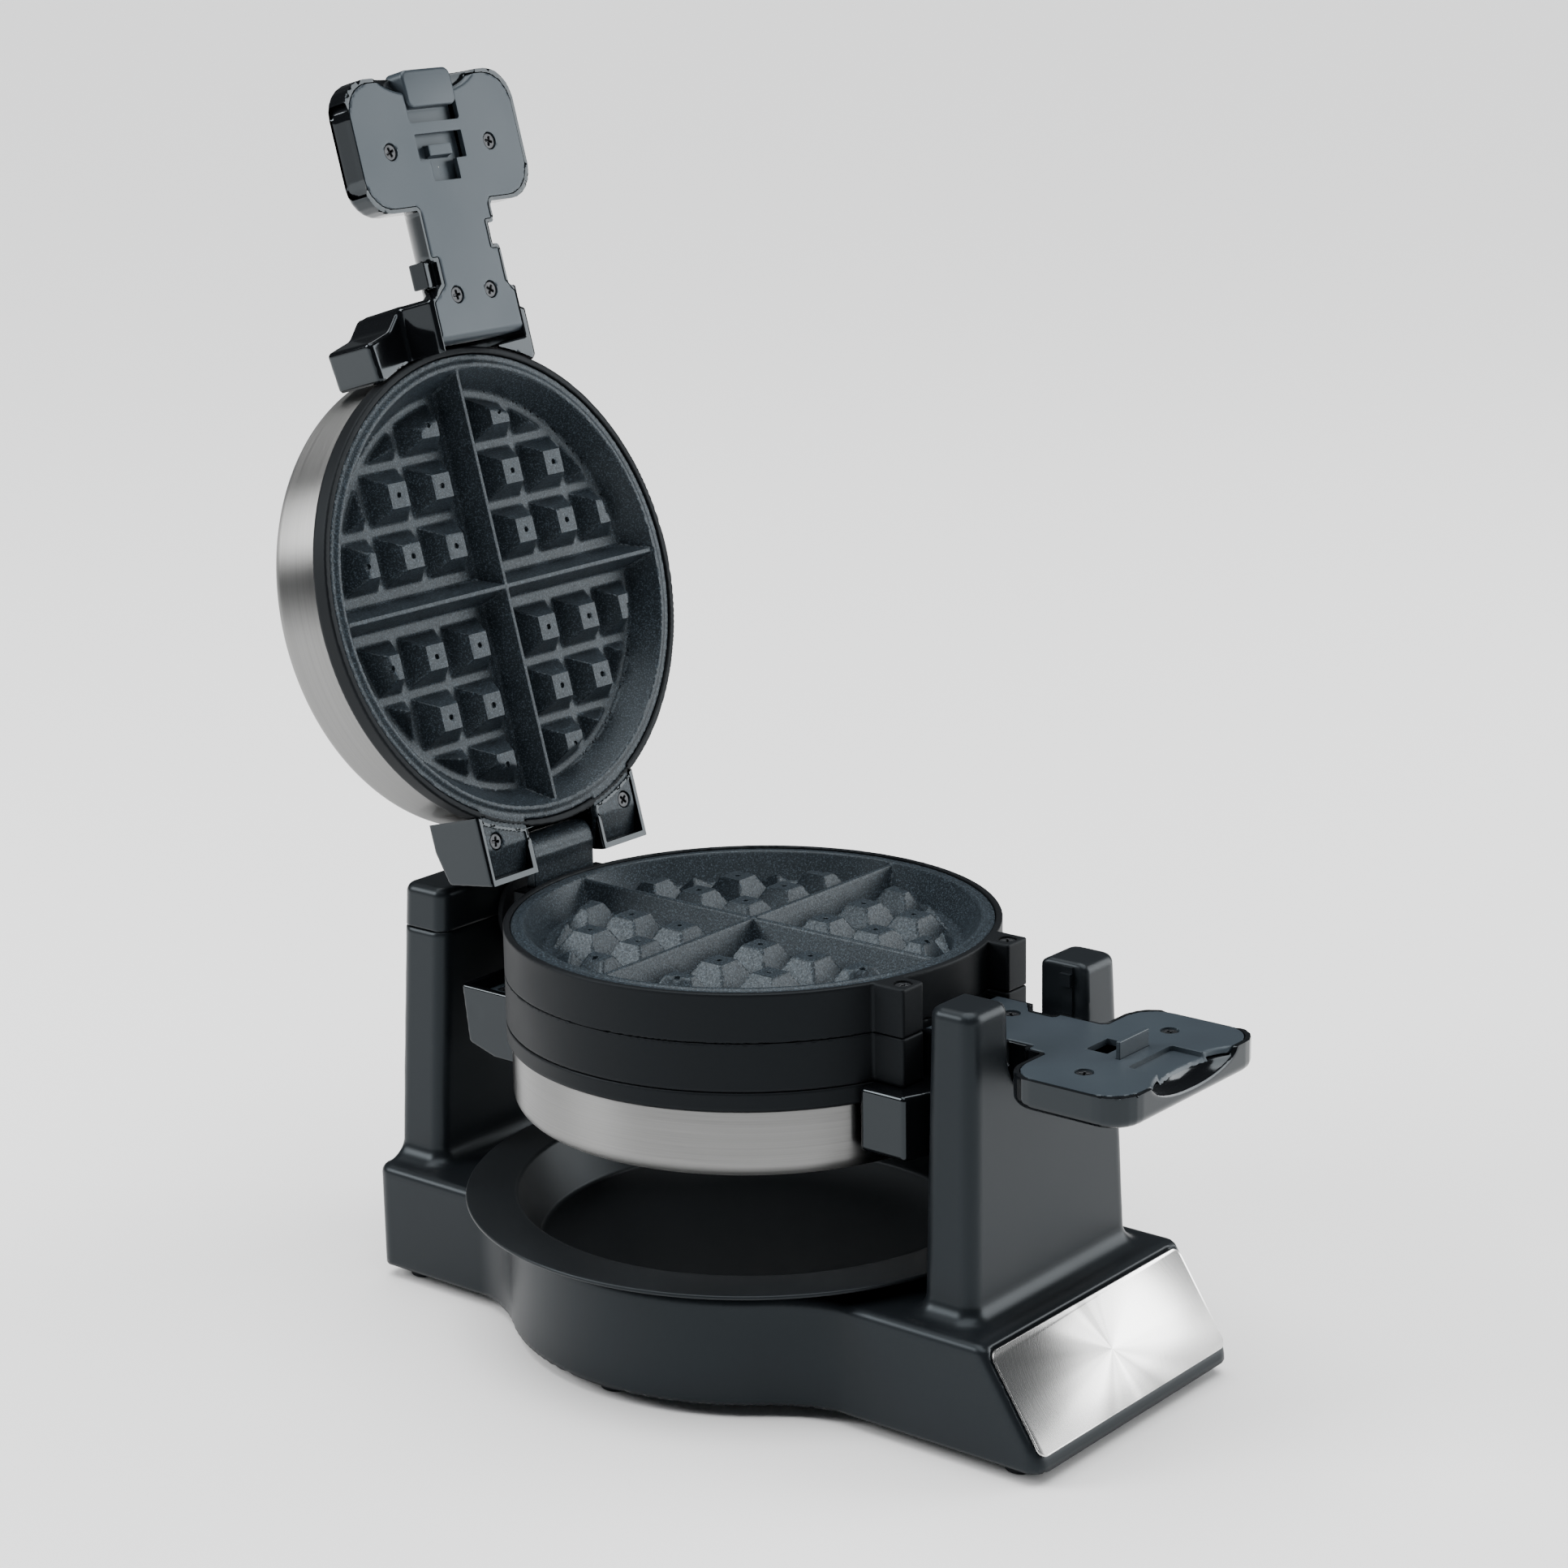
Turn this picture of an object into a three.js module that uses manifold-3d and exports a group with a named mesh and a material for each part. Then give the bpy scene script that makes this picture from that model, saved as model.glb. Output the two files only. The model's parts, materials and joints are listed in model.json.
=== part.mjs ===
// Flip waffle maker: a round double grill that turns over in a forked stand.
// Millimetres, +Z up, X along the flip axis (handles at +X), Y to the back.
// The upper lid stands open and the lower lid is shut.
import * as THREE from 'three';
import { mergeVertices } from 'three/addons/utils/BufferGeometryUtils.js';
import Module from 'manifold-3d';

const wasm = await Module();
wasm.setup();

// ---- Fits and fineness ------------------------------------------------------
const FIT = 0.3; // gap between two pieces that touch
const OVER = 5; // how far a cutting tool runs past what it cuts
const LARGE = 36; // sides of a large circle
const MEDIUM = 16; // sides of a bush or a shaft
const SMALL = 8; // sides of a pin or a screw

// ---- Grill: rings and grid plates, heights measured from the flip plane ------
const RING_R = 104; // outer radius of the rings and the lid rims
const RING_WALL = 2.8;
const WELL_R = RING_R - 8.7; // batter well at its rim
const FLOOR_R = WELL_R - 7.7; // batter well at its floor
const WELL_DEPTH = 10.9;
const PLATE_T = 2.6; // thickness of a cast grid plate
const HEATER_TUBE = 2.9; // radius of a heating element's tube
const HEATER_ROOM = 2 * (HEATER_TUBE + FIT) + 0.4;
const RIM_W = HEATER_ROOM + PLATE_T + WELL_DEPTH; // height of a ring and of its plate's rim
const FLOOR_W = RIM_W - WELL_DEPTH;
const LID_W = RIM_W + FIT; // rim of the shut lid's grid plate
const BEAD = 2.3; // width of the raised bead round the well
const BEAD_RISE = 0.7;
const FLANGE_T = 3; // thickness of a grid plate's flange
const FLANGE_TOP = RIM_W - BEAD_RISE;
const FLANGE_R = RING_R - RING_WALL - FIT;
const LEDGE = 2; // width of the ledge that a flange rests on
const LEDGE_W = FLANGE_TOP - FLANGE_T - FIT;
const PEG_DROP = 3; // peg tops below the rim
const PEG_FIRST = 21.7; // first row of pegs from the middle
const PEG_PITCH = 26.2;
const PEG_BASE = 10.3; // half width of a peg at the floor
const PEG_TOP = 5.3; // half width of a peg's top
const PEGS_R = FLOOR_R - 4.6; // circle that clips the outermost pegs
const DIVIDER_DROP = 0.9; // divider tops below the rim
const DIVIDER_BASE = 5.2; // half width of a divider at the floor
const DIVIDER_TOP = 0.7; // half width of a divider's ridge
const HEATER_R = 62; // ring radius of a heating element
const HEATER_ARC = 310; // degrees that an element runs round
const THERMOSTAT_R = 8;
const LUG_X = RING_R + 6; // screwed lugs on the handle side of the rings
const LUG_Y = [28.5, 42];
const RING_SCREW_X = LUG_X - 5;
const BLOCK_X = -RING_R - 8; // hinge-side block of the rings, which clamps the shaft
const BLOCK_HALF = 27;
const BLOCK_TOP = RIM_W - 2.5; // the lid's housing swings over it

// ---- Screws -----------------------------------------------------------------
const SCREW_HEAD_R = 3.5;
const SCREW_HEAD_T = 2;
const SCREW_R = 1.5;
const SCREW_L = 7;
const SCREW_SUNK = 0.6;

// ---- Lids -------------------------------------------------------------------
const OPEN_ANGLE = 105.17; // degrees that the upper lid stands open
const HINGE_X = -RING_R - 9.8; // hinge pin, from the middle of the grill
const HINGE_W = LID_W + 10.9; // hinge pin, from the flip plane
const PIN_R = 2.5;
const CURL_R = 8; // outer radius of the bracket round the pin
const BRACKET_T = 4.6;
const BRACKET_HALF = 19; // half width of the hinge bracket
const EAR_IN = BRACKET_HALF + 2.2; // the lid's hinge ears run from here
const EAR_OUT = 50;
const EAR_FOLD_X = HINGE_X + 6.8; // the ears slope back from here
const EAR_SCREWS = [-41, 41].map((y) => [-RING_R + 0.1, y]);
const LID_RIM_H = 8.2; // height of the black lid rim
const COVER_R = RING_R - 2;
const COVER_W = LID_W + LID_RIM_H + FIT; // open edge of the steel cover
const COVER_TOP = COVER_W + 29.9; // back of the steel cover
const COVER_CROWN = 1.2;
const COVER_EDGE = 7; // rounding of the cover's edge
const COVER_T = 1.2;
const HOUSING_X = HINGE_X - 8.2; // outermost face of a hinge housing
const HOUSING_W = HINGE_W + 19.1; // back of a hinge housing
const HOUSING_WALL = 2.5;

// ---- Handles ----------------------------------------------------------------
const FACE_W = 0.5; // inner face of a handle, from the flip plane
const FACE_T = 2.5; // thickness of the inner cover
const FACE_TOP = FACE_W + FACE_T;
const SHELL_T = 2;
const FOOT_X = RING_R + 1.5; // the inner cover's foot beside the ring
const FOOT_HALF = 24;
const ROOT_X = RING_R + 21; // outermost face of a handle's root
const WING_SQUARE = 46; // reach of the square-ended and the pointed wing round the lid
const WING_POINTED = 50;
const NECK_HALF = 16; // half width of the inner cover on the neck
const NECK_STEP = 20.2; // and where it steps out
const NECK_R = 22; // half round back of the neck
const GRIP_X = FOOT_X + 58;
const GRIP_END = GRIP_X + 54.5;
const GRIP_HALF = 50;
const GRIP_CORNER = 14;
const GRIP_DEPTH = 13;
const SCOOP_HALF = 27; // thumb scoop in the end of a grip
const SCOOP_DEPTH = 9;
const GRIP_SCREW_X = GRIP_X + 23.4;
const FOOT_SCREW_X = FOOT_X + 19.1;
const HANDLE_SCREWS = [
  [GRIP_SCREW_X, -29.7], [GRIP_SCREW_X, 29.7], [FOOT_SCREW_X, -10.2], [FOOT_SCREW_X, 10.2],
];

// ---- Latch ------------------------------------------------------------------
const TOOTH_X = GRIP_X + 18.5;
const TOOTH_L = 6;
const TOOTH_HALF = 6.8;
const LATCH_TRAVEL = 6;
const BLADE_X = TOOTH_X + TOOTH_L + FIT; // catch blade, just outside the tooth
const BLADE_T = 1.7;
const BLADE_HALF = 10;
const BLADE_RISE = 6.5; // above the flip plane, into the latch slot
const SLOT_HALF = BLADE_HALF + 4; // wide part of the slot, which takes the blade
const SLOT_END = BLADE_X + BLADE_T + 3;
const SLOT_NARROW = TOOTH_HALF + 1; // narrow part, which the tooth slides into
const SLOT_START = TOOTH_X - LATCH_TRAVEL - 3.4;
const BUTTON_X = GRIP_END - 14;
const BUTTON_END = GRIP_END + 2;
const BUTTON_HALF = 14.5;
const SLIDER_W = 8.2; // face of the latch slider, from the flip plane
const SLIDER_T = 2.2;
const SLIDER_HALF = 6;
const SPRING_R = 2.2;
const SPRING_WIRE = 0.5;
const SPRING_TURNS = 4;
const HOLE_HALF = 7.5; // square hole in the lower handle

// ---- Drip tray and height of the flip axis ------------------------------------
const DECK_Z = 52.5; // top of the base
const TRAY_R = ROOT_X - 1;
const TRAY_RIM_Z = DECK_Z + 6.3; // underside of the flat rim
const TRAY_WELL_R = RING_R; // inner edge of the flat rim
const TRAY_FLOOR_R = TRAY_WELL_R - 9;
const TRAY_FLOOR_Z = DECK_Z - 16.5; // underside of the tray's floor
const TRAY_T = 1.8;
const TRAY_PLAY = 1; // sideways play of the tray in the deck

// The grill turns just clear of the tray's floor.
const TURN_CLEAR = 5.8;
const TURN_R = COVER_EDGE
  + Math.hypot(COVER_R - COVER_EDGE, COVER_TOP - COVER_CROWN - COVER_EDGE);
const FLIP_Z = TRAY_FLOOR_Z + TRAY_T + TURN_CLEAR + TURN_R; // height of the flip axis

// ---- Stand ------------------------------------------------------------------
const BASE_Z = 6; // underside of the base
const WALL = 2.5;
const TOWER_TOP = FLIP_Z + 19.4;
const TOWER_HALF = [54.8, 49.8]; // half widths of both towers, at the deck and at the top
const TOWER_EDGE = 4;
const FORK_X = ROOT_X + 2; // inner face of the handle-side tower
const RIGHT_X = [[FORK_X, FORK_X + 25.3], [FORK_X, FORK_X + 22]]; // at the deck, at the top
const PIVOT_X = HOUSING_X - 9; // inner face of the hinge-side tower, at the top
const LEFT_X = [[PIVOT_X - 30, PIVOT_X - 3.5], [PIVOT_X - 25, PIVOT_X]];
const BASE_LEFT = LEFT_X[0][0];
const DECK_RIGHT = RIGHT_X[0][1] + 14.2; // the end slopes from here down to BASE_RIGHT
const BASE_RIGHT = DECK_RIGHT + 27.1;
const LIP_Z = BASE_Z + 5; // height of the upright lip under the slope
const BASE_HALF = TOWER_HALF[0] + 14;
const BULGE_R = TRAY_WELL_R + 3;
const BLEND_R = 14;
const CORNER_R = 7;
const NOTCH_HALF = NECK_R + 5; // fork notch, half round at the flip axis
const SHAFT_R = 8;
const SHAFT_BORE = SHAFT_R - 2.5;
const SHAFT_OUT = LEFT_X[1][0] + 4;
const BUSH_R = SHAFT_R + 5;
const BUSH_FLANGE_R = BUSH_R + 4;
const BUSH_FLANGE_T = 2.5;
const NUT_T = 4;
const FOOT_R = 6.8;
const FEET = [-1, 1].flatMap((side) => [
  [BASE_LEFT + 15, side * (BASE_HALF - 12.8)],
  [0, side * (BULGE_R - 13)],
  [BASE_RIGHT - 17.6, side * (BASE_HALF - 12.8)],
]);
const PANEL_T = 1.2;
const PANEL_BORDER = 3;
const DETENT_X = [FORK_X + 11, FORK_X + 16];
const DETENT_Z = [FLIP_Z - 2.3, FLIP_Z + 17.7];
const DETENT_RISE = 2.6;
const GLAND_X = BASE_LEFT + 43;
const GLAND_Z = 24;
const GLAND_R = 7;
const TERMINALS = { x: BASE_LEFT + 16, length: 14, half: 14, height: 14, pitch: 9, hole: 2.2 };

// ---- Geometry helpers -------------------------------------------------------

// A closed geometry with shared vertices and its faces pointing out.
function tidy(geometry) {
  const bare = geometry.clone();
  for (const name of Object.keys(bare.attributes)) {
    if (name !== 'position') bare.deleteAttribute(name);
  }
  const merged = mergeVertices(bare, 1e-4);
  const at = merged.index.array;
  const kept = [];
  for (let i = 0; i < at.length; i += 3) {
    const [a, b, c] = [at[i], at[i + 1], at[i + 2]];
    if (a !== b && b !== c && c !== a) kept.push(a, b, c);
  }
  merged.setIndex(kept);
  return signedVolume(merged) < 0 ? turnedOver(merged) : merged;
}

function signedVolume(geometry) {
  const p = geometry.attributes.position;
  const at = geometry.index.array;
  const corner = [new THREE.Vector3(), new THREE.Vector3(), new THREE.Vector3()];
  let sum = 0;
  for (let i = 0; i < at.length; i += 3) {
    corner.forEach((v, k) => v.fromBufferAttribute(p, at[i + k]));
    sum += corner[0].dot(corner[1].cross(corner[2])) / 6;
  }
  return sum;
}

function turnedOver(geometry) {
  const at = Array.from(geometry.index.array);
  for (let i = 0; i < at.length; i += 3) [at[i + 1], at[i + 2]] = [at[i + 2], at[i + 1]];
  geometry.setIndex(at);
  return geometry;
}

function toSolid(geometry) {
  const closed = tidy(geometry);
  return new wasm.Manifold(new wasm.Mesh({
    numProp: 3,
    vertProperties: new Float32Array(closed.attributes.position.array),
    triVerts: new Uint32Array(closed.index.array),
  }));
}

function toGeometry(solid) {
  const mesh = solid.getMesh();
  return new THREE.BufferGeometry()
    .setAttribute('position', new THREE.BufferAttribute(mesh.vertProperties, 3))
    .setIndex(Array.from(mesh.triVerts));
}

function join(first, ...others) {
  return toGeometry(others.reduce((sum, g) => sum.add(toSolid(g)), toSolid(first)));
}

function cut(first, ...tools) {
  return toGeometry(tools.reduce((rest, g) => rest.subtract(toSolid(g)), toSolid(first)));
}

function common(first, second) {
  return toGeometry(toSolid(first).intersect(toSolid(second)));
}

function box(x0, x1, y0, y1, z0, z1) {
  return new THREE.BoxGeometry(x1 - x0, y1 - y0, z1 - z0)
    .translate((x0 + x1) / 2, (y0 + y1) / 2, (z0 + z1) / 2);
}

// An upright cylinder or cone.
function disc(r, z0, z1, sides = LARGE, topR = r, x = 0, y = 0) {
  return new THREE.CylinderGeometry(topR, r, z1 - z0, sides)
    .rotateX(Math.PI / 2)
    .translate(x, y, (z0 + z1) / 2);
}

function rodX(r, x0, x1, z = 0, sides = MEDIUM) {
  return new THREE.CylinderGeometry(r, r, x1 - x0, sides)
    .rotateZ(Math.PI / 2)
    .translate((x0 + x1) / 2, 0, z);
}

function rodY(r, x, y0, y1, z, sides = MEDIUM) {
  return new THREE.CylinderGeometry(r, r, y1 - y0, sides).translate(x, (y0 + y1) / 2, z);
}

// A profile of [radius, height] points turned round the Z axis.
function turned(profile, sides = LARGE) {
  const points = profile.map(([r, z]) => new THREE.Vector2(r, z));
  return new THREE.LatheGeometry(points, sides).rotateX(Math.PI / 2);
}

// A ring: its closed profile is given without repeating the first point.
function turnedRing(profile, sides = LARGE) {
  return turned([...profile, profile[0]], sides);
}

function outline(points) {
  return new THREE.Shape(points.map(([x, y]) => new THREE.Vector2(x, y)));
}

// A plan outline raised from z0 to z1.
function prism(points, z0, z1) {
  return new THREE.ExtrudeGeometry(outline(points), { depth: z1 - z0, bevelEnabled: false })
    .translate(0, 0, z0);
}

// A side view, as [x, z] points, run from y0 to y1.
function sideways(points, y0, y1) {
  return new THREE.ExtrudeGeometry(outline(points), { depth: y1 - y0, bevelEnabled: false })
    .rotateX(Math.PI / 2)
    .translate(0, y1, 0);
}

function arc(x, y, r, from, to, steps) {
  const points = [];
  for (let i = 0; i <= steps; i += 1) {
    const a = THREE.MathUtils.degToRad(from + (to - from) * i / steps);
    points.push([x + r * Math.cos(a), y + r * Math.sin(a)]);
  }
  return points;
}

function roundedRectangle(x0, x1, y0, y1, r, steps = 4) {
  return [
    ...arc(x1 - r, y0 + r, r, -90, 0, steps),
    ...arc(x1 - r, y1 - r, r, 0, 90, steps),
    ...arc(x0 + r, y1 - r, r, 90, 180, steps),
    ...arc(x0 + r, y0 + r, r, 180, 270, steps),
  ];
}

// A closed skin through outlines of equally many points, each given as [z, points].
function loft(sections) {
  const count = sections[0][1].length;
  const positions = sections.flatMap(([z, points]) => points.flatMap(([x, y]) => [x, y, z]));
  const faces = [];
  for (let s = 0; s + 1 < sections.length; s += 1) {
    for (let i = 0; i < count; i += 1) {
      const a = s * count + i;
      const b = s * count + (i + 1) % count;
      faces.push(a, b, b + count, a, b + count, a + count);
    }
  }
  const cap = THREE.ShapeUtils.triangulateShape(outline(sections[0][1]).getPoints(), []);
  const top = (sections.length - 1) * count;
  for (const [a, b, c] of cap) faces.push(c, b, a, top + a, top + b, top + c);
  return new THREE.BufferGeometry()
    .setAttribute('position', new THREE.Float32BufferAttribute(positions, 3))
    .setIndex(faces);
}

// A six-sided tube along a smooth curve through the points.
function tubeAlong(points, r, steps) {
  const section = outline(arc(0, 0, r, 0, 300, 5));
  const route = new THREE.CatmullRomCurve3(points);
  return new THREE.ExtrudeGeometry(section, { steps, extrudePath: route });
}

function meshOf(name, geometry, look) {
  const mesh = new THREE.Mesh(geometry, new THREE.MeshStandardMaterial(look));
  mesh.name = name;
  return mesh;
}

const SATIN_BLACK = { color: 0x20252a, roughness: 0.55, metalness: 0 };
const GLOSS_BLACK = { color: 0x14171b, roughness: 0.15, metalness: 0 };
const NON_STICK = { color: 0x22262a, roughness: 0.45, metalness: 0.2 };
const STEEL = { color: 0xc4c4c2, roughness: 0.3, metalness: 1 };
const DARK_STEEL = { color: 0x3a3c3e, roughness: 0.4, metalness: 1 };
const SPRING_STEEL = { color: 0x9a9b9c, roughness: 0.35, metalness: 1 };
const RUBBER = { color: 0x17181a, roughness: 0.85, metalness: 0 };
const CERAMIC = { color: 0xd8d2c4, roughness: 0.6, metalness: 0 };

// ---- Stand ------------------------------------------------------------------

// Plan of the base: a long box with a round bulge, drawn in by "inset".
function basePlan(inset) {
  const half = BASE_HALF - inset;
  const bulge = BULGE_R - inset;
  const corner = CORNER_R - inset;
  const blend = BLEND_R + inset;
  const blendY = BASE_HALF + BLEND_R;
  const blendX = Math.sqrt((BULGE_R + BLEND_R) ** 2 - blendY ** 2);
  const turn = THREE.MathUtils.radToDeg(Math.atan2(blendX, blendY));
  const front = [
    ...arc(-blendX, -blendY, blend, 90, 90 - turn, 4),
    ...arc(0, 0, bulge, 270 - turn, 270 + turn, 16),
    ...arc(blendX, -blendY, blend, 90 + turn, 90, 4),
  ];
  const right = BASE_RIGHT - inset;
  const left = BASE_LEFT + inset;
  return [
    ...arc(left + corner, -half + corner, corner, 180, 270, 3),
    ...front,
    [right, -half],
    [right, half],
    ...front.map(([x, y]) => [-x, -y]),
    ...arc(left + corner, half - corner, corner, 90, 180, 3),
  ];
}

// Everything outside the sloped end, drawn in by "inset" square to the slope.
function beyondSlope(inset) {
  const run = BASE_RIGHT - DECK_RIGHT;
  const rise = DECK_Z - LIP_Z;
  const shift = inset * Math.hypot(run, rise) / rise;
  const reach = (TOWER_TOP - LIP_Z) / rise;
  return sideways([
    [BASE_RIGHT - shift, LIP_Z],
    [BASE_RIGHT - shift - run * reach, LIP_Z + rise * reach],
    [BASE_RIGHT + WALL + OVER, LIP_Z + rise * reach],
    [BASE_RIGHT + WALL + OVER, LIP_Z],
  ], -BULGE_R, BULGE_R);
}

// Plan of a tower at height z, drawn in by "inset".
function towerPlan(sides, z, inset) {
  const t = (z - DECK_Z) / (TOWER_TOP - DECK_Z);
  const at = (pair) => pair[0] + (pair[1] - pair[0]) * t;
  const x0 = at([sides[0][0], sides[1][0]]) + inset;
  const x1 = at([sides[0][1], sides[1][1]]) - inset;
  const y = at(TOWER_HALF) - inset;
  return roundedRectangle(x0, x1, -y, y, Math.max(TOWER_EDGE - inset, 1));
}

function tower(sides, z0, z1, inset, edge = 0) {
  const sections = [[z0, towerPlan(sides, z0, inset)]];
  if (edge > 0) sections.push([z1 - edge, towerPlan(sides, z1 - edge, inset)]);
  sections.push([z1, towerPlan(sides, z1, inset + edge * 0.6)]);
  return loft(sections);
}

// The fork notch: half round at the flip axis and open to the top.
function forkNotch(grow) {
  const r = NOTCH_HALF + grow;
  const x0 = RIGHT_X[0][0] - OVER;
  const x1 = RIGHT_X[0][1] + OVER;
  return join(
    rodX(r, x0, x1, FLIP_Z, MEDIUM * 2),
    box(x0, x1, -r, r, FLIP_Z, TOWER_TOP + OVER),
  );
}

// The seat of the tray's well in the deck, widened by "grow".
function traySeat(grow) {
  const fall = TRAY_RIM_Z - TRAY_FLOOR_Z;
  const slope = (TRAY_WELL_R - TRAY_FLOOR_R) / fall;
  const bottom = TRAY_FLOOR_Z - FIT - grow;
  const r0 = TRAY_FLOOR_R + TRAY_PLAY + grow;
  const top = DECK_Z + OVER;
  return disc(r0, bottom, top, LARGE, r0 + slope * (top - bottom));
}

function baseShell() {
  const outside = join(
    cut(prism(basePlan(0), BASE_Z, DECK_Z), beyondSlope(0)),
    tower(LEFT_X, DECK_Z - OVER, FLIP_Z, 0),
    cut(tower(RIGHT_X, DECK_Z - OVER, TOWER_TOP, 0, TOWER_EDGE), forkNotch(0)),
  );
  const deckHollow = cut(
    prism(basePlan(WALL), BASE_Z - OVER, DECK_Z - WALL),
    beyondSlope(WALL),
    traySeat(WALL),
  );
  const leftHollow = tower(LEFT_X, DECK_Z - WALL - OVER, FLIP_Z + OVER, WALL);
  const rightHollow = cut(
    tower(RIGHT_X, DECK_Z - WALL - OVER, TOWER_TOP - WALL, WALL),
    forkNotch(WALL),
  );
  return cut(
    outside,
    deckHollow,
    leftHollow,
    rightHollow,
    traySeat(0),
    panelOn(FIT, FIT),
    bushHole(),
    rodY(GLAND_R + FIT, GLAND_X, BASE_HALF - 10, BASE_HALF + OVER, GLAND_Z),
    detentPlate(FIT),
  );
}

function leftTowerCap() {
  const z0 = FLIP_Z + FIT;
  return cut(
    tower(LEFT_X, z0, TOWER_TOP, 0, TOWER_EDGE),
    tower(LEFT_X, z0 - OVER, TOWER_TOP - WALL, WALL),
    bushHole(),
  );
}

// The hole for the pivot bush, half in the tower and half in its cap.
function bushHole() {
  return rodX(BUSH_R + FIT, PIVOT_X - 12, PIVOT_X + 12, FLIP_Z);
}

function bottomCover() {
  const inset = WALL + FIT;
  return cut(prism(basePlan(inset), BASE_Z, BASE_Z + WALL), beyondSlope(inset));
}

// The trim plate on the sloped end; "grow" widens and thickens it into its own recess.
function panelOn(grow, sink) {
  const run = BASE_RIGHT - DECK_RIGHT;
  const rise = DECK_Z - LIP_Z;
  const length = Math.hypot(run, rise);
  const half = BASE_HALF - PANEL_BORDER + grow;
  const plate = prism(
    roundedRectangle(PANEL_BORDER - grow, length - PANEL_BORDER / 2 + grow, -half, half, 3),
    -PANEL_T / 2 - sink,
    PANEL_T / 2 + sink * 2,
  );
  return plate
    .rotateY(Math.atan2(rise, run))
    .translate(DECK_RIGHT, 0, DECK_Z);
}

// The tongue on the rear fork post; "grow" makes it the slot that it sits in.
function detentPlate(grow) {
  const inner = NOTCH_HALF - DETENT_RISE;
  return box(DETENT_X[0] - grow, DETENT_X[1] + grow, inner, NOTCH_HALF + WALL / 2 + grow,
    DETENT_Z[0] - grow, DETENT_Z[1] + grow);
}

function forkDetent() {
  const x0 = DETENT_X[0] - OVER;
  const x1 = DETENT_X[1] + OVER;
  const [z0, z1] = DETENT_Z;
  const low = NOTCH_HALF - 1; // the tongue stands 1 mm proud below and above its hook
  return cut(
    detentPlate(0),
    box(x0, x1, 0, low, z0 - OVER, z1 - DETENT_RISE * 3),
    box(x0, x1, 0, low, z1 - DETENT_RISE, z1 + OVER),
  );
}

function pivotBush() {
  const face = PIVOT_X;
  const barrel = rodX(BUSH_R, face - WALL - FIT - BUSH_FLANGE_T, face + FIT);
  const flange = rodX(BUSH_FLANGE_R, face + FIT, face + FIT + BUSH_FLANGE_T);
  const bore = rodX(SHAFT_R + FIT, SHAFT_OUT, HINGE_X);
  return cut(join(barrel, flange), bore);
}

function cordGland() {
  const flange = rodY(GLAND_R + 2.5, GLAND_X, BASE_HALF + FIT, BASE_HALF + FIT + 3, GLAND_Z);
  const barrel = rodY(GLAND_R, GLAND_X, BASE_HALF - WALL - 3, BASE_HALF + FIT, GLAND_Z);
  const bore = rodY(GLAND_R / 2, GLAND_X, BASE_HALF - 2 * OVER, BASE_HALF + 2 * OVER, GLAND_Z);
  return cut(join(flange, barrel), bore);
}

function terminalBlock() {
  const z0 = BASE_Z + WALL + FIT;
  const { x, length, half, height, pitch, hole } = TERMINALS;
  return cut(
    box(x - length / 2, x + length / 2, -half, half, z0, z0 + height),
    ...[-pitch, 0, pitch].map((y) => disc(hole, z0 + OVER, z0 + height + OVER, SMALL, hole, x, y)),
  );
}

function foot(x, y) {
  return disc(FOOT_R * 0.88, 0, BASE_Z - FIT, MEDIUM, FOOT_R, x, y);
}

function stand() {
  const group = new THREE.Group();
  group.add(
    meshOf('base_shell', baseShell(), SATIN_BLACK),
    meshOf('left_tower_cap', leftTowerCap(), SATIN_BLACK),
    meshOf('bottom_cover', bottomCover(), SATIN_BLACK),
    meshOf('end_panel', panelOn(0, 0), STEEL),
    meshOf('fork_detent', forkDetent(), SATIN_BLACK),
    meshOf('cord_gland', cordGland(), RUBBER),
    meshOf('terminal_block', terminalBlock(), CERAMIC),
  );
  FEET.forEach(([x, y], i) => group.add(meshOf(`foot_${i + 1}`, foot(x, y), RUBBER)));
  const bush = meshOf('pivot_bush', pivotBush(), RUBBER);
  bush.position.z = FLIP_Z;
  group.add(bush);
  return group;
}

// ---- Drip tray --------------------------------------------------------------

function dripTray() {
  const rimTop = TRAY_RIM_Z + TRAY_T;
  const floorTop = TRAY_FLOOR_Z + TRAY_T;
  return turned([
    [0, TRAY_FLOOR_Z],
    [TRAY_FLOOR_R, TRAY_FLOOR_Z],
    [TRAY_WELL_R, TRAY_RIM_Z],
    [TRAY_R, TRAY_RIM_Z],
    [TRAY_R, rimTop],
    [TRAY_WELL_R - TRAY_T, rimTop],
    [TRAY_FLOOR_R - TRAY_T, floorTop],
    [0, floorTop],
  ]);
}

// ---- One half of the grill, built above the flip plane -----------------------

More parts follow.
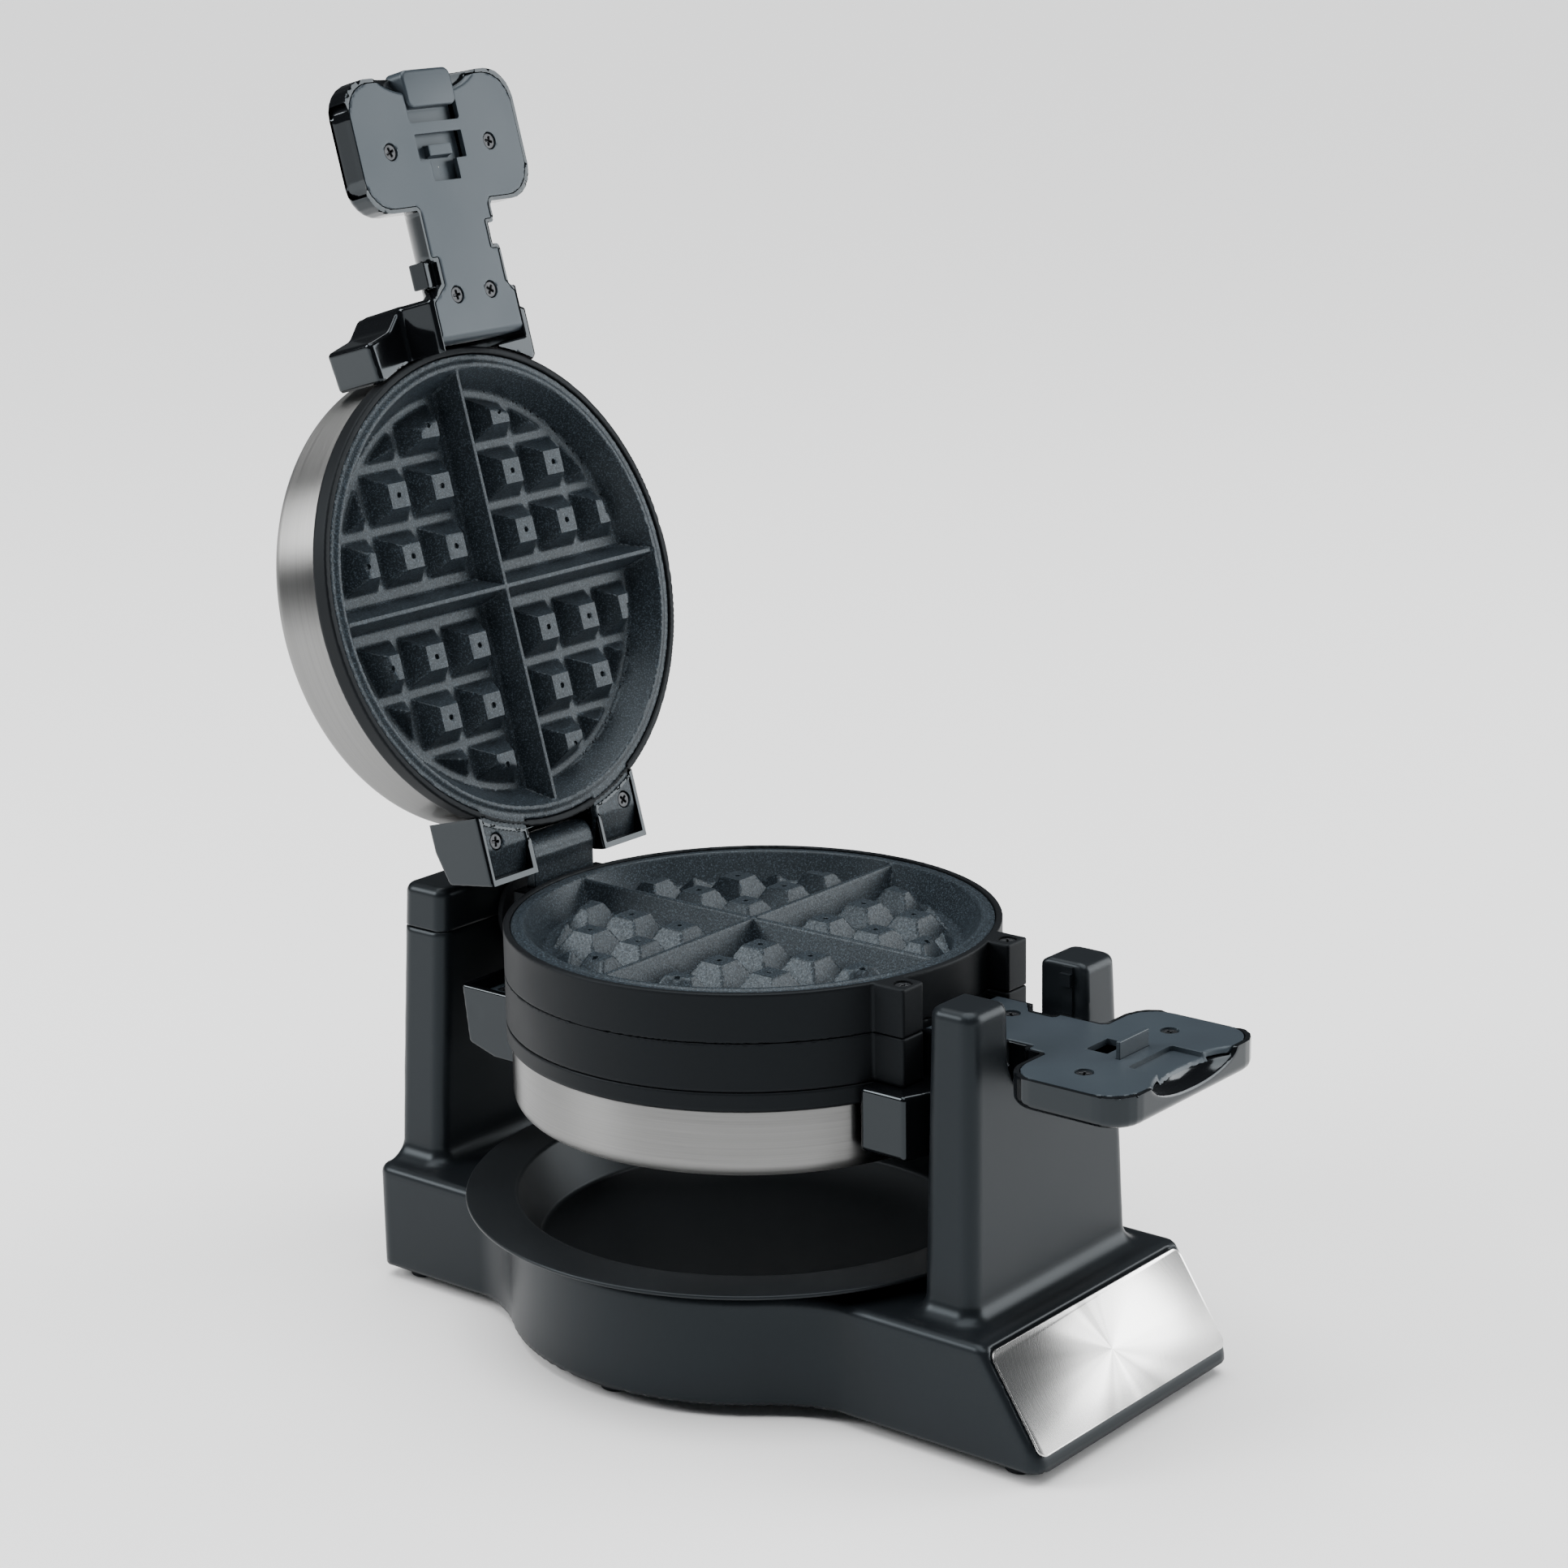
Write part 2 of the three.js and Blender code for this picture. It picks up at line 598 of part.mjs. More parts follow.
function ring() {
  const bore = RING_R - RING_WALL;
  const wall = turnedRing([
    [RING_R, FIT / 2],
    [RING_R, RIM_W],
    [bore, RIM_W],
    [bore, LEDGE_W],
    [bore - LEDGE, LEDGE_W],
    [bore - LEDGE, LEDGE_W - 3],
    [bore, LEDGE_W - 3 - LEDGE],
    [bore, FIT / 2],
  ]);
  const lug = (y0, y1) => cut(
    box(RING_R - 20, LUG_X, y0, y1, FIT / 2, RIM_W),
    disc(RING_R - 1, -OVER, RIM_W + OVER),
  );
  const block = cut(
    box(BLOCK_X, -RING_R + 12, -BLOCK_HALF, BLOCK_HALF, FIT / 2, BLOCK_TOP),
    disc(RING_R - 1, -OVER, RIM_W + OVER),
  );
  const screwY = (LUG_Y[0] + LUG_Y[1]) / 2;
  return cut(
    join(wall, lug(LUG_Y[0], LUG_Y[1]), lug(-LUG_Y[1], -LUG_Y[0]), block),
    hingeBracketLeg(FIT),
    rodX(SHAFT_R + FIT, BLOCK_X - OVER, -RING_R + 12),
    ...[-screwY, screwY].map((y) => screwSeat(RING_SCREW_X, y, RIM_W)),
  );
}

// A countersunk place for a screw whose head is flush with height w.
function screwSeat(x, y, w) {
  return join(
    disc(SCREW_HEAD_R + FIT, w - SCREW_HEAD_T - FIT, w + OVER, SMALL, SCREW_HEAD_R + FIT, x, y),
    disc(SCREW_R + FIT, w - SCREW_L - FIT, w, SMALL, SCREW_R + FIT, x, y),
  );
}

function screw(x, y, w) {
  const neck = w - SCREW_HEAD_T;
  const head = disc(SCREW_HEAD_R, neck, w - SCREW_SUNK, SMALL, SCREW_HEAD_R, x, y);
  const shank = disc(SCREW_R, w - SCREW_L, neck, SMALL, SCREW_R, x, y);
  return join(head, shank);
}

// The part of the hinge bracket that stands in the ring's block.
function hingeBracketLeg(grow) {
  const x1 = HINGE_X + CURL_R;
  return box(x1 - BRACKET_T - grow, x1 + grow, -BRACKET_HALF - grow, BRACKET_HALF + grow,
    SHAFT_R + 3 - grow, HINGE_W);
}

function hingeBracket() {
  const curl = rodY(CURL_R, HINGE_X, -BRACKET_HALF, BRACKET_HALF, HINGE_W);
  const bore = rodY(PIN_R + FIT, HINGE_X, -EAR_OUT, EAR_OUT, HINGE_W);
  return cut(join(hingeBracketLeg(0), curl), bore);
}

function hingePin() {
  const reach = EAR_OUT - HOUSING_WALL / 2;
  return rodY(PIN_R, HINGE_X, -reach, reach, HINGE_W);
}

function peg(x, y) {
  const square = (h) => [[x - h, y - h], [x + h, y - h], [x + h, y + h], [x - h, y + h]];
  return loft([
    [FLOOR_W - 0.5, square(PEG_BASE + 0.4)],
    [RIM_W - PEG_DROP, square(PEG_TOP)],
  ]);
}

function pegCentres() {
  const steps = [0, 1, 2].map((i) => PEG_FIRST + PEG_PITCH * i);
  const quarter = steps.flatMap((x) => steps.map((y) => [x, y]))
    .filter(([x, y]) => Math.hypot(x - PEG_BASE, y - PEG_BASE) < PEGS_R - 2);
  return quarter.flatMap(([x, y]) => [[x, y], [-x, y], [x, -y], [-x, -y]]);
}

// A ridge across the well, along Y when "along" is 'y'.
function divider(along) {
  const top = RIM_W - DIVIDER_DROP;
  const profile = [
    [-DIVIDER_BASE, FLOOR_W - 0.5],
    [DIVIDER_BASE, FLOOR_W - 0.5],
    [DIVIDER_TOP, top],
    [-DIVIDER_TOP, top],
  ];
  const ridge = sideways(profile, -WELL_R - 1, WELL_R + 1);
  return along === 'y' ? ridge : ridge.rotateZ(Math.PI / 2);
}

// A cast grid plate, its well open upwards and its rim at RIM_W.
function gridPlate() {
  const backR = FLOOR_R + 1;
  const bowl = turned([
    [0, FLOOR_W - PLATE_T],
    [backR, FLOOR_W - PLATE_T],
    [WELL_R + 1.6, FLANGE_TOP - FLANGE_T],
    [FLANGE_R, FLANGE_TOP - FLANGE_T],
    [FLANGE_R, FLANGE_TOP],
    [WELL_R + BEAD, FLANGE_TOP],
    [WELL_R + BEAD - 0.5, RIM_W],
    [WELL_R, RIM_W],
    [FLOOR_R, FLOOR_W],
    [0, FLOOR_W],
  ]);
  const pegLimit = disc(PEGS_R + 1, FLOOR_W - 1, RIM_W, LARGE, PEGS_R - 5); // sloped as the pegs are
  const wellLimit = disc(FLOOR_R + 0.5, FLOOR_W - 1, RIM_W, LARGE, WELL_R + 1);
  const pegs = common(join(...pegCentres().map(([x, y]) => peg(x, y))), pegLimit);
  const ridges = common(join(divider('y'), divider('x')), wellLimit);
  return join(bowl, pegs, ridges);
}

// The lid's plate faces the flip plane and carries the two screwed hinge ears.
const EAR_X = HOUSING_X + 1.6; // ends of the ears

function earProfile(grow) {
  const face = LID_W + BEAD_RISE;
  const fold = face + 5;
  return [
    [-RING_R + 20, face - grow],
    [EAR_FOLD_X, face - grow],
    [EAR_X - grow, fold - grow],
    [EAR_X - grow, fold + FLANGE_T + grow],
    [EAR_FOLD_X, face + FLANGE_T + grow],
    [-RING_R + 20, face + FLANGE_T + grow],
  ];
}

function ears(grow) {
  const inner = EAR_IN + 0.4 - grow;
  const outer = EAR_OUT - HOUSING_WALL - FIT + grow;
  return [[inner, outer], [-outer, -inner]].map(
    ([y0, y1]) => cut(sideways(earProfile(grow), y0, y1), disc(FLANGE_R - 1.5, 0, HOUSING_W)),
  );
}

function lidPlate() {
  const turnedPlate = facingDown(gridPlate(), RIM_W + LID_W);
  return cut(
    join(turnedPlate, ...ears(0)),
    ...EAR_SCREWS.map(([x, y]) => facingDown(screwSeat(x, y, 0), LID_W + BEAD_RISE)),
  );
}

// Turns what is drawn facing up at height 0 to face the flip plane at height w.
function facingDown(geometry, w) {
  return geometry.rotateX(Math.PI).translate(0, 0, w);
}

function heater(w) {
  const half = THREE.MathUtils.degToRad(HEATER_ARC / 2);
  const points = [];
  const count = 18;
  for (let i = 0; i <= count; i += 1) {
    const a = -half + 2 * half * i / count;
    points.push(new THREE.Vector3(HEATER_R * Math.cos(a), HEATER_R * Math.sin(a), w));
  }
  return tubeAlong(points, HEATER_TUBE, count);
}

function thermostat() {
  const reach = FLOOR_W - PLATE_T - FIT;
  return disc(THERMOSTAT_R, -reach, reach, MEDIUM);
}

function lidRim() {
  const bore = RING_R - RING_WALL;
  const z0 = LID_W;
  const z1 = LID_W + LID_RIM_H;
  const seat = LID_W + BEAD_RISE + FLANGE_T + FIT;
  const rim = turnedRing([
    [RING_R, z0],
    [RING_R, z1 - 1],
    [RING_R - 1, z1],
    [bore - LEDGE, z1],
    [bore - LEDGE, seat],
    [bore, seat],
    [bore, z0],
  ]);
  return cut(rim, ...ears(FIT), ...EAR_SCREWS.map(([x, y]) => (
    disc(SCREW_R + FIT, LID_W - OVER, z1 + OVER, SMALL, SCREW_R + FIT, x, y))));
}

function cover() {
  const flat = COVER_TOP - COVER_CROWN;
  const inner = COVER_EDGE - COVER_T;
  const edgeW = flat - COVER_EDGE;
  return turned([
    [0, COVER_TOP - COVER_T],
    ...arc(COVER_R - COVER_EDGE, edgeW, inner, 90, 0, 2),
    [COVER_R - COVER_T, COVER_W],
    [COVER_R, COVER_W],
    ...arc(COVER_R - COVER_EDGE, edgeW, COVER_EDGE, 0, 90, 3),
    [0, COVER_TOP],
  ]);
}

// The housing behind the lid's ears: a hollow block that holds both ends of the pin.
function housingProfile(inset) {
  return [
    [-RING_R + 22, LID_W],
    [HOUSING_X + inset, LID_W],
    [HOUSING_X + inset, LID_W + 1.7],
    [HOUSING_X + 3 + inset, HOUSING_W - 4.3 - inset],
    [-RING_R, HOUSING_W - inset],
    [-RING_R + 22, HOUSING_W - inset],
  ];
}

function hingeHousing() {
  const notchTop = HINGE_W + CURL_R + 2;
  const body = sideways(housingProfile(0), -EAR_OUT, EAR_OUT);
  const wall = HOUSING_WALL;
  const pocket = (y0, y1) => cut(
    sideways(housingProfile(wall), y0, y1),
    disc(RING_R + FIT + wall, 0, HOUSING_W + OVER),
  );
  return cut(
    body,
    disc(RING_R + FIT, 0, HOUSING_W + OVER),
    box(HOUSING_X - OVER, -RING_R + 8, -EAR_IN, EAR_IN, 0, notchTop),
    pocket(EAR_IN + wall, EAR_OUT - wall),
    pocket(-EAR_OUT + wall, -EAR_IN - wall),
    ...ears(FIT),
    rodY(PIN_R + FIT, HINGE_X, -EAR_OUT + 1, EAR_OUT - 1, HINGE_W),
  );
}

// ---- Handles ----------------------------------------------------------------

// Outline of the inner cover of a handle.
function coverOutline() {
  const shoulder = FOOT_X + 17;
  const step = FOOT_X + 36;
  return [
    [FOOT_X, -FOOT_HALF], [shoulder, -FOOT_HALF], [shoulder + 6.5, -NECK_HALF],
    [step, -NECK_HALF], [step, -NECK_STEP], [GRIP_X, -NECK_STEP],
    ...gripOutline(0),
    [GRIP_X, NECK_STEP], [step + 13, NECK_STEP], [step + 13, NECK_HALF], [step, NECK_HALF],
    [step, NECK_STEP], [shoulder + 4.5, NECK_STEP], [shoulder, FOOT_HALF], [FOOT_X, FOOT_HALF],
  ];
}

// Outline of the grip of the inner cover, grown by "grow".
function gripOutline(grow) {
  const x0 = GRIP_X - grow;
  const x1 = GRIP_END - SHELL_T + grow;
  const y = GRIP_HALF - SHELL_T + grow;
  const r = GRIP_CORNER;
  return [
    ...arc(x0 + r, -y + r, r, 180, 270, 4),
    ...arc(x1 - r, -y + r, r, 270, 360, 4),
    ...arc(x1 - r, y - r, r, 0, 90, 4),
    ...arc(x0 + r, y - r, r, 90, 180, 4),
  ];
}

function thumbScoop() {
  return sideways([
    [GRIP_END - SCOOP_DEPTH, FACE_W - OVER],
    [GRIP_END + OVER, FACE_W - OVER],
    [GRIP_END + OVER, FACE_W + SCOOP_DEPTH],
    [GRIP_END - SCOOP_DEPTH / 2, FACE_W + SCOOP_DEPTH],
  ], -SCOOP_HALF, SCOOP_HALF);
}

// Cuts through the upper handle's inner cover: the latch slot and the way of the button.
function latchSlots() {
  const button = BUTTON_HALF + FIT;
  return [
    box(TOOTH_X - 0.5, SLOT_END, -SLOT_HALF, SLOT_HALF, -OVER, FACE_TOP + OVER),
    box(SLOT_START, TOOTH_X, -SLOT_NARROW, SLOT_NARROW, -OVER, FACE_TOP + OVER),
    box(BUTTON_X - LATCH_TRAVEL - FIT, GRIP_END + OVER, -button, button, -OVER, FACE_TOP + OVER),
  ];
}

// Cuts through the lower handle's inner cover: the square hole and the seat of the blade.
function catchSlots() {
  const blade = BLADE_HALF + FIT;
  return [
    box(SLOT_START, TOOTH_X + 0.5, -HOLE_HALF, HOLE_HALF, -OVER, FACE_TOP + OVER),
    box(BLADE_X - FIT, BLADE_X + BLADE_T + FIT, -blade, blade, -OVER, FACE_TOP + OVER),
  ];
}

function handleCover(slots) {
  const face = prism(coverOutline(), FACE_W, FACE_TOP);
  const wall = cut(
    box(FOOT_X - 0.5, FOOT_X + FACE_T, -FOOT_HALF, FOOT_HALF, FACE_W + 1, LID_W + 2),
    disc(RING_R + 1, 0, LID_W + OVER),
  );
  return cut(
    join(face, wall),
    thumbScoop(),
    ...slots,
    ...HANDLE_SCREWS.map(([x, y]) => facingDown(screwSeat(x, y, 0), FACE_W)),
  );
}

// The glossy back: grip tray, half round neck, and the root with its wings round the lid's side.
function handleShell() {
  const gripBack = FACE_W + GRIP_DEPTH;
  const inFoot = FOOT_HALF + FIT;
  const grip = prism(gripOutline(SHELL_T), FACE_W, gripBack);
  const above = box(0, GRIP_END + OVER, -BULGE_R, BULGE_R, FACE_W, COVER_TOP);
  const neck = common(rodX(NECK_R, ROOT_X - OVER, GRIP_X + 6), above);
  const wings = prism(wingsOutline(), LID_W, HOUSING_W - 3);
  const root = sideways(rootProfile(0), -inFoot - SHELL_T, inFoot + SHELL_T);
  return cut(
    join(grip, neck, root, wings),
    prism(gripOutline(FIT), FACE_W - OVER, gripBack - SHELL_T),
    rodX(NECK_R - SHELL_T, ROOT_X - 2 * OVER, GRIP_X + 4),
    sideways(rootProfile(SHELL_T), -inFoot, inFoot),
    box(FOOT_X - OVER, ROOT_X - SHELL_T, -inFoot, inFoot, FACE_W - OVER, LID_W + 3),
    disc(RING_R + 1, -OVER, COVER_TOP + OVER),
    prism(coverRecess(), FACE_W - OVER, FACE_TOP + FIT),
    thumbScoop(),
  );
}

// Plan of the wings that clasp the lid's side: square-ended at -Y, pointed at +Y.
function wingsOutline() {
  const waist = FOOT_HALF + FIT + SHELL_T;
  return [
    [RING_R - 8, -WING_SQUARE], [RING_R + 8, -WING_SQUARE - 2], [RING_R + 14, -WING_SQUARE + 12],
    [ROOT_X - 1, -waist], [ROOT_X - 1, waist],
    [RING_R + 15, WING_POINTED - 7], [RING_R + 12, WING_POINTED], [RING_R - 9, WING_POINTED],
    [RING_R / 2, 0],
  ];
}

// Side view of a handle's root, drawn in by "inset" and then open towards the face.
function rootProfile(inset) {
  const low = inset > 0 ? FACE_W - OVER : FACE_W;
  return [
    [RING_R - 10, low],
    [ROOT_X - inset, low],
    [ROOT_X - inset, NECK_R - SHELL_T],
    [ROOT_X - 1 - inset, HOUSING_W - 8 - inset],
    [ROOT_X - 8 - inset, HOUSING_W - inset],
    [RING_R - 10, HOUSING_W - inset],
  ];
}

// The recess in the shell that the inner cover drops into.
function coverRecess() {
  return coverOutline().map(([x, y]) => [x > GRIP_SCREW_X ? x + FIT : x, y + Math.sign(y) * FIT]);
}

function latchButton() {
  const back = SLIDER_W + 0.5;
  const tip = FACE_W + 0.6;
  const slider = box(TOOTH_X - 2, BUTTON_X + 4, -SLIDER_HALF, SLIDER_HALF,
    SLIDER_W, SLIDER_W + SLIDER_T);
  const tooth = sideways([
    [TOOTH_X, back],
    [TOOTH_X + TOOTH_L / 4, tip],
    [TOOTH_X + TOOTH_L, tip],
    [TOOTH_X + TOOTH_L, back],
  ], -TOOTH_HALF, TOOTH_HALF);
  const pad = box(BUTTON_X, BUTTON_END, -BUTTON_HALF, BUTTON_HALF, tip, SLIDER_W);
  return join(slider, tooth, pad);
}

function latchSpring() {
  const from = GRIP_X + 4;
  const to = TOOTH_X - 2 - FIT;
  const steps = SPRING_TURNS * 8;
  const points = [];
  for (let i = 0; i <= steps; i += 1) {
    const a = i * Math.PI / 4;
    points.push(new THREE.Vector3(
      from + (to - from) * i / steps,
      SPRING_R * Math.cos(a),
      SLIDER_W - 1 + SPRING_R * Math.sin(a),
    ));
  }
  return tubeAlong(points, SPRING_WIRE, steps);
}

function catchBlade() {
  return box(BLADE_X, BLADE_X + BLADE_T, -BLADE_HALF, BLADE_HALF, -BLADE_RISE, FACE_W + 8);
}

// ---- Assembly ---------------------------------------------------------------

// Pieces of a lid, drawn shut and hung from its hinge pin.
function lid(side) {
  const upper = side === 'upper';
  const group = new THREE.Group();
  const backW = LID_W + WELL_DEPTH + PLATE_T;
  const pieces = [
    ['cover', cover(), STEEL],
    ['lid_rim', lidRim(), SATIN_BLACK],
    ['lid_plate', lidPlate(), NON_STICK],
    ['lid_heater', heater(backW + FIT + HEATER_TUBE), DARK_STEEL],
    ['hinge_housing', hingeHousing(), GLOSS_BLACK],
    ['hinge_pin', hingePin(), STEEL],
    ['handle_shell', handleShell(), GLOSS_BLACK],
    ['handle_cover', handleCover(upper ? latchSlots() : catchSlots()), SATIN_BLACK],
  ];
  for (const [name, geometry, look] of pieces) {
    group.add(meshOf(`${side}_${name}`, geometry, look));
  }
  HANDLE_SCREWS.forEach(([x, y], i) => {
    const geometry = facingDown(screw(x, y, 0), FACE_W);
    group.add(meshOf(`${side}_handle_screw_${i + 1}`, geometry, DARK_STEEL));
  });
  EAR_SCREWS.forEach(([x, y], i) => {
    const geometry = facingDown(screw(x, y, 0), LID_W + BEAD_RISE);
    group.add(meshOf(`${side}_ear_screw_${i + 1}`, geometry, DARK_STEEL));
  });
  if (upper) {
    group.add(meshOf('latch_button', latchButton(), SATIN_BLACK));
    group.add(meshOf('latch_spring', latchSpring(), SPRING_STEEL));
  } else {
    group.add(meshOf('catch_blade', catchBlade(), SATIN_BLACK));
  }
  for (const mesh of group.children) mesh.position.set(-HINGE_X, 0, -HINGE_W);
  group.position.set(HINGE_X, 0, HINGE_W);
  if (upper) group.rotation.y = -THREE.MathUtils.degToRad(OPEN_ANGLE);
  return group;
}

function grillHalf(side) {
  const group = new THREE.Group();
  group.add(
    meshOf(`${side}_ring`, ring(), SATIN_BLACK),
    meshOf(`${side}_mid_plate`, gridPlate(), NON_STICK),
    meshOf(`${side}_mid_heater`, heater(FLOOR_W - PLATE_T - FIT - HEATER_TUBE), DARK_STEEL),
    meshOf(`${side}_hinge_bracket`, hingeBracket(), NON_STICK),
    lid(side),
  );
  const screwY = (LUG_Y[0] + LUG_Y[1]) / 2;
  if (side === 'upper') {
    [-screwY, screwY].forEach((y, i) => {
      group.add(meshOf(`ring_screw_${i + 1}`, screw(RING_SCREW_X, y, RIM_W), DARK_STEEL));
    });
  } else {
    group.rotation.x = Math.PI;
  }
  return group;
}

function pivotShaft() {
  const collar = rodX(BUSH_R, BLOCK_X - 5, BLOCK_X - FIT);
  const tube = rodX(SHAFT_R, SHAFT_OUT, -RING_R + 1);
  return cut(join(collar, tube), rodX(SHAFT_BORE, SHAFT_OUT - OVER, -RING_R + OVER));
}

function shaftNut() {
  return cut(
    rodX(BUSH_R, SHAFT_OUT + 1, SHAFT_OUT + 1 + NUT_T, 0, 6),
    rodX(SHAFT_R + FIT, SHAFT_OUT - OVER, HINGE_X),
  );
}

function grillUnit() {
  const group = new THREE.Group();
  group.add(
    grillHalf('upper'),
    grillHalf('lower'),
    meshOf('thermostat', thermostat(), CERAMIC),
    meshOf('pivot_shaft', pivotShaft(), STEEL),
    meshOf('shaft_nut', shaftNut(), STEEL),
  );
  group.position.z = FLIP_Z;
  return group;
}

const waffleMaker = new THREE.Group();
waffleMaker.add(stand(), meshOf('drip_tray', dripTray(), SATIN_BLACK), grillUnit());

// The origin is the middle of the footprint, on the table.
const bounds = new THREE.Box3().setFromObject(waffleMaker, true);
const middle = bounds.getCenter(new THREE.Vector3());
waffleMaker.position.set(-middle.x, -middle.y, -bounds.min.z);

export default waffleMaker;
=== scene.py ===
import json
import math

import bmesh
import bpy
import numpy as np
from bpy.props import FloatProperty, FloatVectorProperty, IntProperty, PointerProperty
from mathutils import Matrix, Vector


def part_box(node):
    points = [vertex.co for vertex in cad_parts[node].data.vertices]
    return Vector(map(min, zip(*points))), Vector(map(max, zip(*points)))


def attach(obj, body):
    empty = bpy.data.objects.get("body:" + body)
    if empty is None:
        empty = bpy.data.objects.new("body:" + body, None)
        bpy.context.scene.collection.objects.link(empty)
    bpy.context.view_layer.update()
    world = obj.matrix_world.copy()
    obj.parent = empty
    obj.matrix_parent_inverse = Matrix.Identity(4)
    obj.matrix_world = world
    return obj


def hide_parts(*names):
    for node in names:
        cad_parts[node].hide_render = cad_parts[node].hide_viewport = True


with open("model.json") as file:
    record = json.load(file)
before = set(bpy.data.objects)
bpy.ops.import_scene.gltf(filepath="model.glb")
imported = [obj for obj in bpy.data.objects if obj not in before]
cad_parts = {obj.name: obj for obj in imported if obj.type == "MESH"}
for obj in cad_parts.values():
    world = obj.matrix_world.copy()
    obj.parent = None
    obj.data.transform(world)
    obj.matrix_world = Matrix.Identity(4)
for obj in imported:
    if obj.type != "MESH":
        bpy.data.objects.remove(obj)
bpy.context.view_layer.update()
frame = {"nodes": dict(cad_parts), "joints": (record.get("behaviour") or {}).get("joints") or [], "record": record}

bl_info = {
    "name": "Flip Waffle Maker",
    "version": (1, 0, 0),
    "blender": (4, 5, 0),
    "location": "3D View > Sidebar > Waffle Maker",
    "description": "Builds a double waffle maker whose round grill turns over in a forked stand",
    "category": "Add Mesh",
}

# ---- Places that come from the frame, in millimetres ---------------------------


def joint(name):
    return next(j for j in frame["joints"] if j["name"] == name)


def mm(metres):
    return 1000 * metres


def span(node, axis):
    low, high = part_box(node)
    return mm(low[axis]), mm(high[axis])


SHIFT_X = mm(joint("flip")["pos_m"][0])  # the grill's middle, from the frame's origin
FLIP_Z = mm(joint("flip")["pos_m"][2])
HINGE_X = mm(joint("upper_lid_hinge")["pos_m"][0]) - SHIFT_X
HINGE_W = mm(joint("upper_lid_hinge")["pos_m"][2]) - FLIP_Z
OPEN_ANGLE = joint("upper_lid_hinge")["range_deg"][1]
RING_R = round(span("upper_ring", 1)[1], 2)
TRAY_R = round(span("drip_tray", 1)[1], 2)
TRAY_FLOOR_Z, TRAY_TOP_Z = span("drip_tray", 2)
BASE_RIGHT = span("base_shell", 0)[1] - SHIFT_X
TOWER_TOP = span("left_tower_cap", 2)[1]

# ---- Sizes of the grill, in millimetres from the flip plane --------------------

FIT = 0.3
OVER = 5
RING_WALL = 2.8
WELL_R = RING_R - 8.7
FLOOR_R = WELL_R - 7.7
RIM_W = span("upper_ring", 2)[1] - FLIP_Z
FLOOR_W = RIM_W - 12.5
PLATE_T = 1
LID_W = RIM_W + FIT
BEAD = 2.3
BEAD_RISE = 0.7
FLANGE_T = 3
FLANGE_TOP = RIM_W - BEAD_RISE
FLANGE_R = RING_R - RING_WALL - FIT
LEDGE = 2
LEDGE_W = FLANGE_TOP - FLANGE_T - FIT
PEG_FIRST = 21.7
PEG_LAST_ROW = 2
PEG_DROP = 3
PEG_BASE = 10.8
PEGS_R = FLOOR_R - 4.6
DIMPLE_R = 1.2
DIMPLE_DEPTH = 1.3
DIVIDER_DROP = 0.9
DIVIDER_BASE = 5.2
DIVIDER_TOP = 0.85
LUG_X = RING_R + 6
LUG_Y = (28.5, 42)
RING_SCREW_X = LUG_X - 5
BLOCK_X = -RING_R - 8
BLOCK_HALF = 27
BLOCK_TOP = RIM_W - 2.5
SCREW_HEAD_R = 3.5
SCREW_HEAD_T = 2
SCREW_CROWN = 0.6  # the head's edge lies this much under its face
SHANK_R = 1.5
SCREW_L = 7
CROSS_R = 2.1
CROSS_DEPTH = 1.9
PIN_R = 2.5
CURL_R = 8
BRACKET_T = 4.6
BRACKET_HALF = 19
EAR_IN = BRACKET_HALF + 2.2
EAR_OUT = 50
EAR_FOLD_X = HINGE_X + 6.8
EAR_SCREWS = ((-RING_R + 0.1, -41), (-RING_R + 0.1, 41))
LID_RIM_H = 8.2
COVER_R = RING_R - 2
COVER_W = LID_W + LID_RIM_H + FIT
COVER_TOP = COVER_W + 29.9
COVER_CROWN = 1.2
COVER_EDGE = 7
COVER_T = 1.2
HOUSING_X = HINGE_X - 8.2
HOUSING_W = HINGE_W + 19.1
HOUSING_WALL = 2.5
EAR_X = HOUSING_X + 1.6

# ---- Sizes of the handles ------------------------------------------------------

FACE_W = 0.5
FACE_T = 2.5
FACE_TOP = FACE_W + FACE_T
SHELL_T = 2
FOOT_X = RING_R + 1.5
FOOT_HALF = 24
ROOT_X = RING_R + 21
WING_SQUARE = 46
WING_POINTED = 50
NECK_HALF = 16
NECK_STEP = 20.2
NECK_R = 22
NECK_NOTCH = FOOT_X + 36
GRIP_X = FOOT_X + 58
GRIP_END = GRIP_X + 54.5
GRIP_HALF = 50
GRIP_CORNER = 14
GRIP_DEPTH = 13
SCOOP_HALF = 28
SCOOP_DEPTH = 9
SCOOP_OUT = 3  # the hollow's middle, beyond the grip's end
HANDLE_SCREWS = (
    (GRIP_X + 23.4, -29.7), (GRIP_X + 23.4, 29.7), (FOOT_X + 19.1, -10.2), (FOOT_X + 19.1, 10.2),
)
TOOTH_X = GRIP_X + 18.5
TOOTH_L = 6
TOOTH_HALF = 6.8
LATCH_TRAVEL = 6
BLADE_X = TOOTH_X + TOOTH_L + FIT
BLADE_T = 1.7
BLADE_HALF = 10
BLADE_RISE = 6.5
BLADE_ROOT = FACE_W + 8
SLOT_HALF = BLADE_HALF + 4
SLOT_END = BLADE_X + BLADE_T + 3
SLOT_NARROW = TOOTH_HALF + 1
SLOT_START = TOOTH_X - LATCH_TRAVEL - 3.4
BUTTON_X = GRIP_END - 14
BUTTON_END = GRIP_END + 2
BUTTON_HALF = 14.5
PAD_RISE = 1.5  # the thumb pad stands proud of the cover
SLIDER_W = 8.2
SLIDER_T = 2.2
HOLE_HALF = 7.5

# ---- Sizes of the stand, in millimetres from the table -------------------------

